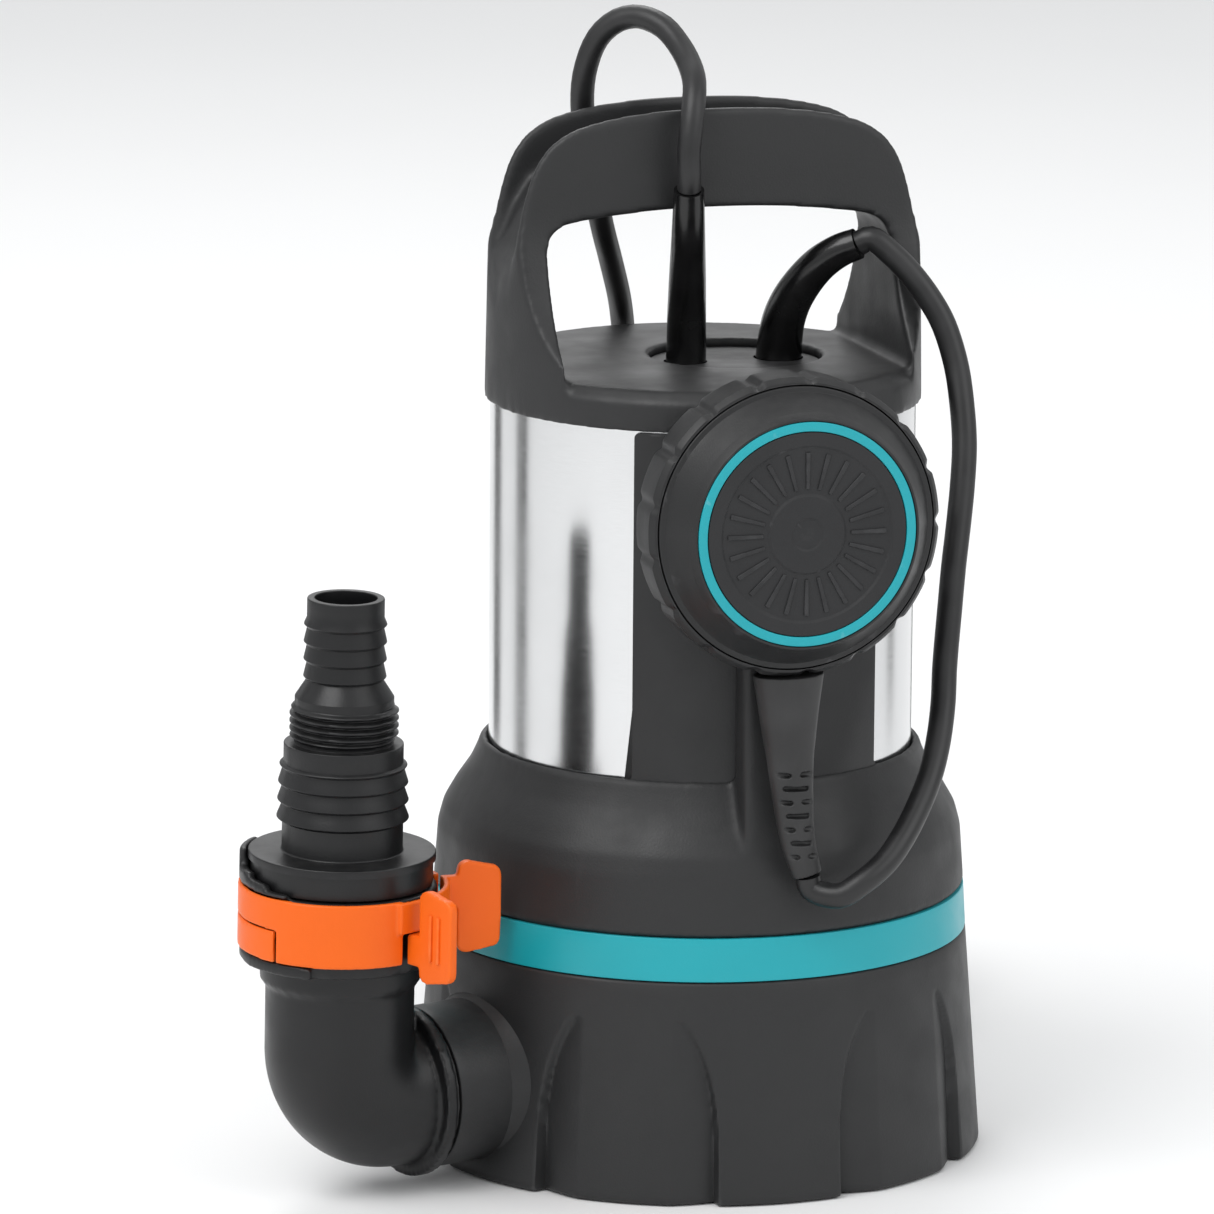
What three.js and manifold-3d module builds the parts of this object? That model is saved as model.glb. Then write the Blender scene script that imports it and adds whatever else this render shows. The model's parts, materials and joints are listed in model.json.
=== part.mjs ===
// Submersible sump pump with float switch, swivel outlet elbow and stepped hose adapter.
// Millimetres, +Z up. The origin is on the pump's axis, on the surface that it stands on.
// The front, which carries the float switch, faces -Y.
import * as THREE from 'three';
import * as BufferGeometryUtils from 'three/addons/utils/BufferGeometryUtils.js';
import Module from 'manifold-3d';

const wasm = await Module();
wasm.setup();

// ---------------------------------------------------------------- driving dimensions
const gap = 0.35; // clearance between pieces that touch
const roundSegments = 40;
const smallSegments = 24;

// casing
const steelRadius = 66.3;
const steelWall = 0.8;
const steelBottom = 118.6;
const capWall = 1.7; // the cap's rim and the front panel stand proud of the steel
const capBottom = 236.5;
const deckTop = 249;
const deckThickness = 4;
const deckChamfer = 3.8;
const footHeight = 69;
const footBottomRadius = 89.6;
const footTopRadius = 84.2;
const footWall = 3;
const bandHeight = 13.4;
const bandWall = 2.4;
const shoulderBottom = 101;
const shoulderTop = 126.5;
const skirtTaper = 2.1; // radius lost from the foot's top to the shoulder
const lipTop = 128.4;
const lipWidth = 2.2;
const housingWall = 3;
const panelHalfAngle = 35;
const ribHalfWidth = 10;
const ribFrontTop = 76; // distance of the rib's front face from the axis, at its top
const ribFrontBottom = 80;
const ribTop = 206;
const ribWall = 2.6;

// recesses round the foot
const buttressAngles = [-128, -64, 0, 64, 128, 180]; // degrees from the front
const recessTop = 57;
const recessDepth = 4.2;
const buttressHalfTop = 20;
const buttressHalfBottom = 12.6;
const recessSoftAngle = 22.5;

// handle
const handleTop = 328.8;
const handleHalf = 15; // half the grip's thickness
const gripHeight = 30.8;
const windowHalf = 55.5;
const channelHalf = 11.6;
const channelDepth = 13;

// cable outlets on the deck
const recessCentre = new THREE.Vector2(11.6, 4);
const glandRadius = 26.8;
const glandTop = 246.2;
const glandThickness = 3.8;
const mainsExit = new THREE.Vector2(-3.4, 7.7);
const floatExit = new THREE.Vector2(27, 7.7);
const mainsReliefBase = 6.3;
const mainsReliefTip = 4.7;
const floatReliefBase = 7.3;
const floatReliefTip = 4.9;
const mainsDiameter = 7.5;
const floatLeadDiameter = 7.8;

// outlet, elbow, clamp and hose adapter
const outletAzimuth = -72; // degrees from the front, towards +X
const outletHeight = 29.5;
const stubEnd = 106;
const stubRadius = 25.2;
const stubBore = 22;
const spigotRadius = 20.6;
const elbowBore = 18;
const elbowRadius = 22.85;
const elbowSwivel = 1.6; // the elbow's lean towards the front, in degrees
const elbowFlangeStart = 108;
const elbowFlangeThickness = 4;
const elbowFlangeRadius = 27;
const bendRadius = 17.5;
const legDistance = 135;
const socketRadius = 24.6;
const socketBottom = 69.4;
const cupFloor = 79;
const cupTop = 99.3;
const cupRadius = 29.2;
const cupBore = 25.4;
const rampHeight = 10.2;
const clampBottom = 79.6;
const clampTop = 99.4;
const clampInner = 29.7;
const clampOuter = 31.6;
const wingReach = 50;
const wingHeight = 29;
const wingThickness = 3.2;
const adapterPlug = 25;
const adapterCollar = 27.9;
const adapterDisc = 28.7;
const adapterDiscTop = 109.5;
const largeBarbRadius = 20.3; // for 38 mm hose
const threadRadius = 16.65; // G 1 male thread
const threadPitch = 2.31;
const smallBarbRadius = 12.7; // for 25 mm hose
const adapterTop = 188;
const adapterBore = 9.5;

// float switch
const floatHeight = 212.5;
const floatDistance = 86.5; // from the pump's axis to the middle of the grip ring
const floatRadius = 46;
const floatRingHalf = 9;
const floatWall = 2.3;
const gripNotches = 17;
const gripNotchDepth = 1.1;
const domeRadius = 41.6;
const domeHeight = 20.1;
const plateauRadius = 35.2;
const accentOuter = 34.3;
const accentInner = 31.4;
const bootTop = floatHeight - floatRadius - gap;
const bootFlat = 0.76; // the boot's thickness over its width
const bootEnd = new THREE.Vector3(6.8, -89.1, 103.3);
const ballRadius = 7;
const ballTravel = 26;

// motor and wet end
const shaftRadius = 6;
const statorRadius = 58;
const statorBore = 27;
const statorBottom = 142;
const statorTop = 192;
const airGap = 0.7;
const windingHeight = 12;
const bearingOuter = 16;
const upperBearingOuter = 14;
const impellerRadius = 42;
const impellerVanes = 6;
const voluteRadius = 56;
const voluteBottom = 14;
const voluteTop = 55;
const inletRadius = 17;
const strainerSlots = 16;
const padRadius = 22;
const screwCircle = 40;
const screwCount = 4;

// mains lead, laid by hand; the coil holds the rest of its 10 m
const coilMeanRadius = 58;
const coilRows = 5;
const coilTurns = 5; // in each row; the last and first turns of two rows share a place
const coilCentre = new THREE.Vector2(52, 169);
const tieAngle = 55;
const plugLength = 46;
const plugWidth = 36;
const plugHeight = 26;
const plugAngle = -100;
const plugPlace = new THREE.Vector2(18.2, -53.5);

// ---------------------------------------------------------------- derived dimensions
const capRadius = steelRadius + capWall;
const steelInner = steelRadius - steelWall;
const lipRadius = steelRadius + lipWidth;
const bandBottom = footHeight + 0.3;
const bandTop = bandBottom + bandHeight;
const skirtStart = bandTop + 0.3;
const footInnerTop = footTopRadius - footWall;
const sleeveRadius = footInnerTop - gap - 0.2;
const shoulderRadius = footTopRadius - skirtTaper;
const footPlateTop = 59.4;
const steelTop = deckTop - deckThickness - 2.5;
const windowTop = handleTop - gripHeight;

// ---------------------------------------------------------------- materials
const paint = (color, roughness, metalness = 0) => new THREE.MeshStandardMaterial({ color, roughness, metalness });
const darkPlastic = paint(0x3c3d3f, 0.55);
const blackPlastic = paint(0x242526, 0.45);
const rubber = paint(0x1c1c1d, 0.6);
const turquoise = paint(0x18a9b5, 0.4);
const orange = paint(0xe4571b, 0.45);
const steel = paint(0xd4d6d8, 0.22, 1);
const castIron = paint(0x8b8d90, 0.5, 0.8);
const copper = paint(0xb26a35, 0.4, 0.9);
const brass = paint(0xb99547, 0.35, 0.9);
const lightPlastic = paint(0xd9d6c8, 0.5);

const pump = new THREE.Group();

// ---------------------------------------------------------------- geometry helpers
const radians = THREE.MathUtils.degToRad;

// Returns the geometry with shared vertices merged and its faces pointing out.
function closed(geometry) {
  const bare = geometry.index ? geometry.toNonIndexed() : geometry.clone();
  for (const name of Object.keys(bare.attributes)) {
    if (name !== 'position') bare.deleteAttribute(name);
  }
  const merged = BufferGeometryUtils.mergeVertices(bare, 1e-4);
  const p = merged.attributes.position;
  const kept = [];
  let volume = 0;
  const [a, b, c] = [new THREE.Vector3(), new THREE.Vector3(), new THREE.Vector3()];
  for (let i = 0; i < merged.index.count; i += 3) {
    const [u, v, w] = [0, 1, 2].map((k) => merged.index.getX(i + k));
    if (u === v || v === w || w === u) continue;
    kept.push(u, v, w);
    a.fromBufferAttribute(p, u);
    b.fromBufferAttribute(p, v);
    c.fromBufferAttribute(p, w);
    volume += a.dot(b.cross(c));
  }
  if (volume < 0) kept.reverse();
  merged.setIndex(kept);
  return merged;
}

function solid(geometry) {
  const g = closed(geometry);
  return new wasm.Manifold(new wasm.Mesh({
    numProp: 3,
    vertProperties: Float32Array.from(g.attributes.position.array),
    triVerts: Uint32Array.from(g.index.array),
  }));
}

function toGeometry(manifold) {
  const mesh = manifold.getMesh();
  const geometry = new THREE.BufferGeometry();
  geometry.setAttribute('position', new THREE.BufferAttribute(mesh.vertProperties, 3));
  geometry.setIndex(Array.from(mesh.triVerts));
  return geometry;
}

const joined = (first, ...others) => others.reduce((sum, one) => sum.add(one), first);
const without = (first, ...others) => others.reduce((rest, one) => rest.subtract(one), first);

// A body of revolution round +Z. The outline is a list of [radius, height].
function turned(outline, segments = roundSegments) {
  const points = outline.map(([r, z]) => new THREE.Vector2(r, z));
  return new THREE.LatheGeometry(points, segments).rotateX(Math.PI / 2);
}

// A ring whose outline closes on itself.
const ring = (outline, segments) => turned([...outline, outline[0]], segments);

function tube(outer, inner, bottom, top, segments) {
  return ring([[inner, bottom], [outer, bottom], [outer, top], [inner, top]], segments);
}

function disc(radius, bottom, top, segments) {
  return turned([[0, bottom], [radius, bottom], [radius, top], [0, top]], segments);
}

const box = (x0, x1, y0, y1, z0, z1) => new THREE.BoxGeometry(x1 - x0, y1 - y0, z1 - z0)
  .translate((x0 + x1) / 2, (y0 + y1) / 2, (z0 + z1) / 2);

// Extrudes a shape drawn in X and Z from y0 to y1.
function alongY(shape, y0, y1, curveSegments = 7) {
  const geometry = new THREE.ExtrudeGeometry(shape, { depth: y1 - y0, bevelEnabled: false, curveSegments });
  return geometry.rotateX(Math.PI / 2).translate(0, y1, 0);
}

// Extrudes a shape drawn in Y and Z from x0 to x1.
function alongX(shape, x0, x1, curveSegments = 7) {
  const geometry = new THREE.ExtrudeGeometry(shape, { depth: x1 - x0, bevelEnabled: false, curveSegments });
  const turn = new THREE.Matrix4().makeBasis(
    new THREE.Vector3(0, 1, 0), new THREE.Vector3(0, 0, 1), new THREE.Vector3(1, 0, 0));
  return geometry.applyMatrix4(turn).translate(x0, 0, 0);
}

// A sector of a flat ring, from angle a0 to a1 in degrees, counter-clockwise from +X.
function sector(inner, outer, a0, a1, bottom, top, segments = 16) {
  const shape = new THREE.Shape();
  shape.absarc(0, 0, outer, radians(a0), radians(a1), false);
  shape.absarc(0, 0, inner, radians(a1), radians(a0), true);
  shape.closePath();
  const settings = { depth: top - bottom, bevelEnabled: false, curveSegments: segments };
  return new THREE.ExtrudeGeometry(shape, settings).translate(0, 0, bottom);
}

// A horizontal cylinder along +X.
const rod = (radius, x0, x1, segments = smallSegments) => disc(radius, x0, x1, segments).rotateY(Math.PI / 2);

// Bends a body of revolution, whose heights run from 0 to the curve's length, along a curve.
function bent(geometry, curve) {
  const length = curve.getLength();
  const p = geometry.attributes.position;
  const side = new THREE.Vector3(0, 1, 0);
  for (let i = 0; i < p.count; i += 1) {
    const t = THREE.MathUtils.clamp(p.getZ(i) / length, 0, 1);
    const tangent = curve.getTangentAt(t);
    const across = new THREE.Vector3().crossVectors(side, tangent).normalize();
    const up = new THREE.Vector3().crossVectors(tangent, across);
    const at = curve.getPointAt(t).addScaledVector(across, p.getX(i)).addScaledVector(up, p.getY(i));
    p.setXYZ(i, at.x, at.y, at.z);
  }
  return geometry;
}

// A round cord along a list of points, with a step about every 2.5 diameters.
function cord(points, diameter, sides) {
  const curve = new THREE.CatmullRomCurve3(points, false, 'centripetal');
  const section = new THREE.Shape();
  for (let i = 0; i < sides; i += 1) {
    const a = (2 * Math.PI * i) / sides;
    const [x, y] = [(diameter / 2) * Math.cos(a), (diameter / 2) * Math.sin(a)];
    if (i === 0) section.moveTo(x, y);
    else section.lineTo(x, y);
  }
  section.closePath();
  const steps = Math.round(curve.getLength() / (2.5 * diameter));
  return new THREE.ExtrudeGeometry(section, { steps, extrudePath: curve, bevelEnabled: false });
}

const vectors = (rows) => rows.map(([x, y, z]) => new THREE.Vector3(x, y, z));

// Adds a sub-part to a parent group.
function piece(name, shape, material, parent = pump) {
  const geometry = shape.isBufferGeometry ? closed(shape) : toGeometry(shape);
  geometry.computeVertexNormals();
  const mesh = new THREE.Mesh(geometry, material);
  mesh.name = name;
  parent.add(mesh);
  return mesh;
}

// ---------------------------------------------------------------- groups for the turned assemblies
// Along +X of the outlet group runs the outlet's axis; the elbow's leg group stands on its far end.
const outlet = new THREE.Group();
outlet.rotation.z = radians(outletAzimuth - 90);
outlet.position.z = outletHeight;
pump.add(outlet);
const elbow = new THREE.Group();
elbow.rotation.x = -radians(elbowSwivel);
outlet.add(elbow);
const leg = new THREE.Group();
leg.position.set(legDistance, 0, -outletHeight);
elbow.add(leg);
// The float switch is modelled along +Z and faces the front.
const float = new THREE.Group();
float.position.set(0, -floatDistance, floatHeight);
float.rotation.x = Math.PI / 2;
pump.add(float);

// ---------------------------------------------------------------- foot
// Half the width of a buttress at a height, in degrees.
function buttressHalf(z) {
  const t = THREE.MathUtils.clamp(z / recessTop, 0, 1);
  return buttressHalfBottom + (buttressHalfTop - buttressHalfBottom) * t ** 4;
}

function recessDepthAt(z) {
  return recessDepth * Math.sqrt(Math.max(0, 1 - z / recessTop));
}

// Angles round the foot, in pairs of a fixed place and the part of a recess's depth that is cut there.
function footColumns() {
  const columns = [];
  const sorted = [...buttressAngles].sort((a, b) => a - b);
  sorted.forEach((centre, i) => {
    const next = i + 1 < sorted.length ? sorted[i + 1] : sorted[0] + 360;
    const middle = (centre + next) / 2;
    columns.push({ centre, edge: 0, cut: 0 }, { centre, edge: 0.6, cut: 0 }, { centre, edge: 1, cut: 0 });
    columns.push({ centre, edge: 1.001, cut: 1 }, { centre, soft: 0.5, cut: 0.45 }, { centre, soft: 1, cut: 0 });
    columns.push({ fixed: middle, cut: 0 });
    columns.push({ centre: next, soft: -1, cut: 0 }, { centre: next, soft: -0.5, cut: 0.45 });
    columns.push({ centre: next, edge: -1.001, cut: 1 });
    columns.push({ centre: next, edge: -1, cut: 0 }, { centre: next, edge: -0.6, cut: 0 });
  });
  return columns;
}

function columnAngle(column, z) {
  if (column.fixed !== undefined) return column.fixed;
  const half = buttressHalf(z);
  if (column.edge !== undefined) {
    const step = Math.abs(column.edge) > 1 ? 1.1 * Math.sign(column.edge) : 0;
    return column.centre + column.edge * half + step;
  }
  const from = half + 1.1;
  return column.centre + Math.sign(column.soft) * (from + (recessSoftAngle - from) * Math.abs(column.soft));
}

function footSkirt() {
  const columns = footColumns();
  const heights = [0, 16, 32, 45, 53, recessTop, footHeight];
  const outer = heights.map((z) => [footBottomRadius + ((footTopRadius - footBottomRadius) * z) / footHeight, z]);
  const innerBottom = footBottomRadius - recessDepth - footWall;
  const outline = [[innerBottom, 0], ...outer, [footInnerTop, footHeight]];
  const geometry = ring(outline, columns.length);
  const p = geometry.attributes.position;
  const rows = outline.length + 1;
  for (let i = 0; i < p.count; i += 1) {
    const column = columns[Math.floor(i / rows) % columns.length];
    const z = p.getZ(i);
    const angle = radians(columnAngle(column, z) - 90);
    const row = i % rows;
    const cut = row > 0 && row <= heights.length ? column.cut * recessDepthAt(z) : 0;
    const radius = Math.hypot(p.getX(i), p.getY(i)) - cut;
    p.setXY(i, radius * Math.cos(angle), radius * Math.sin(angle));
  }
  return solid(geometry);
}

function baseFoot() {
  const turn = radians(outletAzimuth - 90);
  const plate = solid(tube(footInnerTop + 0.5, voluteRadius + 1, footPlateTop - 3.2, footPlateTop));
  const spoutStart = footTopRadius - 3;
  const spout = rod(stubRadius, spoutStart, stubEnd, 28).translate(0, 0, outletHeight).rotateZ(turn);
  const bore = rod(stubBore, voluteRadius, stubEnd + 1, 28).translate(0, 0, outletHeight).rotateZ(turn);
  return without(joined(footSkirt(), plate, solid(spout)), solid(bore));
}
piece('base_foot', baseFoot(), darkPlastic);

function suctionCover() {
  const plate = solid(disc(footBottomRadius - footWall - recessDepth - 1.6, 4, 7));
  const pad = solid(disc(padRadius, 0, 7, smallSegments));
  const slots = [];
  for (let i = 0; i < strainerSlots; i += 1) {
    const slot = box(52, 76, -1.6, 1.6, 3, 8).rotateZ((2 * Math.PI * i) / strainerSlots);
    slots.push(solid(slot));
  }
  const holes = screwPlaces().map(([x, y]) => solid(disc(2.4, 3, 8, 12).translate(x, y, 0)));
  return without(joined(plate, pad), ...slots, ...holes);
}

function screwPlaces() {
  const places = [];
  for (let i = 0; i < screwCount; i += 1) {
    const a = radians(45 + (360 * i) / screwCount);
    places.push([screwCircle * Math.cos(a), screwCircle * Math.sin(a)]);
  }
  return places;
}
piece('suction_cover', suctionCover(), blackPlastic);

screwPlaces().forEach(([x, y], i) => {
  const screw = turned([[0, 1.4], [4, 1.4], [4, 3.65], [2, 3.65], [2, voluteBottom + 2.6], [0, voluteBottom + 2.6]], 12);
  piece(`base_screw_${i + 1}`, screw.translate(x, y, 0), steel);
});

// ---------------------------------------------------------------- wet end
function volute() {
  const turn = radians(outletAzimuth - 90);
  const shell = solid(tube(voluteRadius, voluteRadius - 4, voluteBottom, voluteTop, 32));
  const bottom = solid(tube(voluteRadius - 2, inletRadius, voluteBottom, voluteBottom + 3, 32));
  const top = solid(tube(voluteRadius - 2, 12.5, voluteTop - 3, voluteTop, 32));
  const pipe = solid(rod(stubBore - gap, voluteRadius - 8, footTopRadius + 2).translate(0, 0, outletHeight));
  const room = solid(disc(voluteRadius - 4, voluteBottom + 3, voluteTop - 3, 32));
  const bore = solid(rod(elbowBore, voluteRadius - 12, footTopRadius + 3).translate(0, 0, outletHeight));
  const body = joined(shell, bottom, top, without(pipe, room));
  const cut = without(body, bore).rotate([0, 0, (turn * 180) / Math.PI]);
  const holes = screwPlaces().map(([x, y]) => solid(disc(2.4, voluteBottom - 1, voluteBottom + 4, 12).translate(x, y, 0)));
  return without(cut, ...holes);
}
piece('volute_casing', volute(), blackPlastic);

function impeller() {
  const plate = solid(disc(impellerRadius, 33, 36, 28));
  const hub = solid(disc(11, 20, 36, 24));
  const vanes = [];
  for (let i = 0; i < impellerVanes; i += 1) {
    const vane = sector(34, 36.6, 8, 62, 23, 34, 6).translate(-16, -24, 0);
    vanes.push(solid(vane.rotateZ((2 * Math.PI * i) / impellerVanes)));
  }
  const bore = solid(disc(shaftRadius + 0.3, 19, 37, 24));
  const outside = solid(tube(impellerRadius + 30, impellerRadius, 19, 37, 28));
  return without(joined(plate, hub, ...vanes), bore, outside);
}
piece('impeller', impeller(), lightPlastic);
const nut = without(solid(disc(7.5, 15.2, 19.6, 6)), solid(disc(4.1, 15, 20, 16)));
piece('impeller_nut', nut, brass);
piece('shaft', turned([[0, 15], [3.8, 15], [3.8, 19.8], [shaftRadius, 19.8], [shaftRadius, 212], [0, 212]], 24), steel);
piece('shaft_seal', tube(12.1, shaftRadius + 0.3, 50, 62, 24), blackPlastic);
piece('oil_chamber', ring([
  [12.5, voluteTop + gap], [42, voluteTop + gap], [44, 110], [41, 110], [39, 58.6], [12.5, 58.6],
], 28), blackPlastic);

// ---------------------------------------------------------------- motor
piece('motor_flange', ring([
  [10, 112], [steelInner - 2.8, 112], [steelInner - 2.8, 126], [steelInner - 6, 126], [steelInner - 6, 116],
  [20, 116], [20, 126], [bearingOuter + 0.3, 126], [bearingOuter + 0.3, 116.4], [10, 116.4],
], 32), castIron);
piece('lower_bearing', tube(bearingOuter, shaftRadius + 0.3, 116.8, 125.6, smallSegments), steel);
const sealTube = new THREE.TorusGeometry(steelInner - 1.4, 1, 5, 28).translate(0, 0, 122);
piece('housing_seal', sealTube, rubber);
piece('stator_core', tube(statorRadius, statorBore, statorBottom, statorTop, 32), castIron);
const windingLower = tube(statorRadius - 14, statorBore + 1, statorBottom - gap - windingHeight, statorBottom - gap, 24);
piece('winding_lower', windingLower, copper);
const windingUpper = tube(statorRadius - 14, statorBore + 1, statorTop + gap, statorTop + gap + windingHeight, 24);
piece('winding_upper', windingUpper, copper);
piece('rotor_core', tube(statorBore - airGap, shaftRadius + 0.3, statorBottom - 1, statorTop - 1, 24), castIron);
piece('upper_bearing', tube(upperBearingOuter, shaftRadius + 0.3, 205.5, 213, smallSegments), steel);
piece('motor_end_plate', ring([
  [upperBearingOuter + 0.3, 205], [18, 205], [18, 209], [steelInner - 0.6, 209], [steelInner - 0.6, 213],
  [18, 213], [18, 216], [upperBearingOuter + 0.3, 216],
], 32), castIron);
piece('start_capacitor', rod(11, -27, 27, 24).translate(0, -31, 229), lightPlastic);
const terminals = new THREE.Shape([[-15, -7], [15, -7], [15, 4], [12, 7], [-12, 7], [-15, 4]]
  .map(([x, y]) => new THREE.Vector2(x, y)));
const terminalBlock = new THREE.ExtrudeGeometry(terminals, { depth: 11, bevelEnabled: false });
piece('terminal_block', terminalBlock.translate(8, 34, 217.5), lightPlastic);

// ---------------------------------------------------------------- casing
piece('steel_shell', tube(steelRadius, steelInner, steelBottom, steelTop), steel);

const bandInner = sleeveRadius + gap;
const bandLower = footTopRadius;
const bandUpper = footTopRadius - 0.8;
piece('colour_band', ring([
  [bandInner, bandBottom], [bandLower, bandBottom], [bandUpper, bandTop], [bandInner, bandTop],
]), turquoise);

// A wedge of the plane round the front, wider than the pump.
function frontWedge(halfAngle, bottom, top) {
  const reach = 2 * steelRadius;
  const shape = new THREE.Shape();
  shape.moveTo(0, 0);
  shape.lineTo(-reach * Math.sin(radians(halfAngle)), -reach * Math.cos(radians(halfAngle)));
  shape.lineTo(reach * Math.sin(radians(halfAngle)), -reach * Math.cos(radians(halfAngle)));
  shape.closePath();
  return new THREE.ExtrudeGeometry(shape, { depth: top - bottom, bevelEnabled: false }).translate(0, 0, bottom);
}

function lowerHousing() {
  const inside = housingWall;
  const body = solid(ring([
    [sleeveRadius, footPlateTop + 0.6], [sleeveRadius, skirtStart], [bandUpper, skirtStart],
    [shoulderRadius, shoulderBottom], [shoulderRadius - 0.6, shoulderBottom + 3],
    [shoulderRadius - 1.8, shoulderBottom + 5.8], [lipRadius + 0.4, shoulderTop], [lipRadius, lipTop],
    [steelRadius + 0.3, lipTop], [steelRadius + 0.3, steelBottom - 0.4], [steelInner - 2.4, steelBottom - 0.4],
    [steelInner - 2.4, steelBottom - 3.4], [lipRadius - 1.5, steelBottom - 3.4],
    [shoulderRadius - 4.6, shoulderBottom + 4], [shoulderRadius - inside - 0.8, shoulderBottom - 1],
    [sleeveRadius - inside, skirtStart], [sleeveRadius - inside, footPlateTop + 0.6],
  ]));
  const sheet = solid(tube(capRadius - 0.1, steelRadius + 0.3, lipTop - 4, capBottom - 0.4));
  const panel = sheet.intersect(solid(frontWedge(panelHalfAngle, 0, deckTop)));
  // the rib: a hollow rail, open at its top, with a slot for the float's lug
  const rib = new THREE.Shape();
  rib.moveTo(-steelRadius - 0.3, shoulderBottom + 14);
  rib.lineTo(-shoulderRadius + 4.5, shoulderBottom - 4);
  rib.lineTo(-ribFrontBottom, shoulderBottom);
  rib.lineTo(-ribFrontTop, ribTop - 20);
  rib.lineTo(-ribFrontTop, ribTop);
  rib.lineTo(-steelRadius - 0.3, ribTop);
  rib.closePath();
  const skin = solid(disc(steelRadius + 0.3, 0, deckTop));
  const ribBody = without(solid(alongX(rib, -ribHalfWidth, ribHalfWidth)), skin);
  const front = -ribFrontTop + ribWall;
  const room = solid(box(-ribHalfWidth + ribWall, ribHalfWidth - ribWall, front, -capRadius - 0.9, ribTop - 14, ribTop + 1));
  const slot = solid(box(-3, 3, -ribFrontTop - 3, front + 1, ribTop - 10.4, ribTop + 1));
  return without(joined(body, panel, ribBody), room, slot);
}
piece('lower_housing', lowerHousing(), darkPlastic);

// ---------------------------------------------------------------- handle cap
function handleOutline() {
  const shape = new THREE.Shape();
  const side = capRadius - 1.5;
  const right = [
    [side - 0.8, deckTop + 35, side - 3, deckTop + 48, side - 6.3, handleTop - 21.3],
    [side - 9, handleTop - 13.3, side - 13.5, handleTop - 8.3, side - 21.5, handleTop - 5.3],
    [36, handleTop - 2, 18, handleTop, 0, handleTop],
  ];
  shape.moveTo(capRadius + 2, capBottom - 1);
  shape.lineTo(capRadius + 2, deckTop);
  shape.lineTo(side, deckTop + 23);
  right.forEach((c) => shape.bezierCurveTo(...c));
  // the left half is the same, run backwards
  shape.bezierCurveTo(-18, handleTop, -36, handleTop - 2, -side + 21.5, handleTop - 5.3);
  shape.bezierCurveTo(-side + 13.5, handleTop - 8.3, -side + 9, handleTop - 13.3, -side + 6.3, handleTop - 21.3);
  shape.bezierCurveTo(-side + 3, deckTop + 48, -side + 0.8, deckTop + 35, -side, deckTop + 23);
  shape.lineTo(-capRadius - 2, deckTop);
  shape.lineTo(-capRadius - 2, capBottom - 1);
  shape.closePath();
  return shape;
}

function handleSide() {
  const shape = new THREE.Shape();
  const reach = capRadius + 2;
  shape.moveTo(-reach, capBottom - 1);
  shape.lineTo(-reach, deckTop);
  shape.lineTo(-45, deckTop);
  shape.bezierCurveTo(-34, deckTop + 6, -24.5, deckTop + 17, -19.6, deckTop + 31);
  shape.bezierCurveTo(-17.4, deckTop + 38, -handleHalf, deckTop + 42, -handleHalf, deckTop + 52);
  shape.lineTo(-handleHalf, handleTop + 2);
  shape.lineTo(handleHalf, handleTop + 2);
  shape.lineTo(handleHalf, deckTop + 52);
  shape.bezierCurveTo(handleHalf, deckTop + 42, 17.4, deckTop + 38, 19.6, deckTop + 31);
  shape.bezierCurveTo(24.5, deckTop + 17, 34, deckTop + 6, 45, deckTop);
  shape.lineTo(reach, deckTop);
  shape.lineTo(reach, capBottom - 1);
  shape.closePath();
  return shape;
}

function windowOutline() {
  const shape = new THREE.Shape();
  const side = windowHalf;
  shape.moveTo(-side, deckTop);
  shape.lineTo(-side, windowTop - 15);
  shape.bezierCurveTo(-side, windowTop - 6.5, -side + 3, windowTop - 4.4, -side + 10.5, windowTop - 3.2);
  shape.bezierCurveTo(-28, windowTop - 0.8, -14, windowTop, 0, windowTop);
  shape.bezierCurveTo(14, windowTop, 28, windowTop - 0.8, side - 10.5, windowTop - 3.2);
  shape.bezierCurveTo(side - 3, windowTop - 4.4, side, windowTop - 6.5, side, windowTop - 15);
  shape.lineTo(side, deckTop);
  shape.closePath();
  return shape;
}

// What the cable channel takes out of the arch: everything above its floor.
function channelOutline() {
  const shape = new THREE.Shape();
  const floor = handleTop - channelDepth;
  const reach = capRadius + 3;
  const half = [[30, -1.8], [46, -5.8], [53, -11], [58, -18.8], [62, -28], [66.5, -34.8], [reach, -38]];
  shape.moveTo(reach, handleTop + 5);
  shape.lineTo(-reach, handleTop + 5);
  [...half].reverse().forEach(([x, drop]) => shape.lineTo(-x, floor + drop));
  shape.lineTo(0, floor);
  half.forEach(([x, drop]) => shape.lineTo(x, floor + drop));
  shape.closePath();
  return shape;
}

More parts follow.
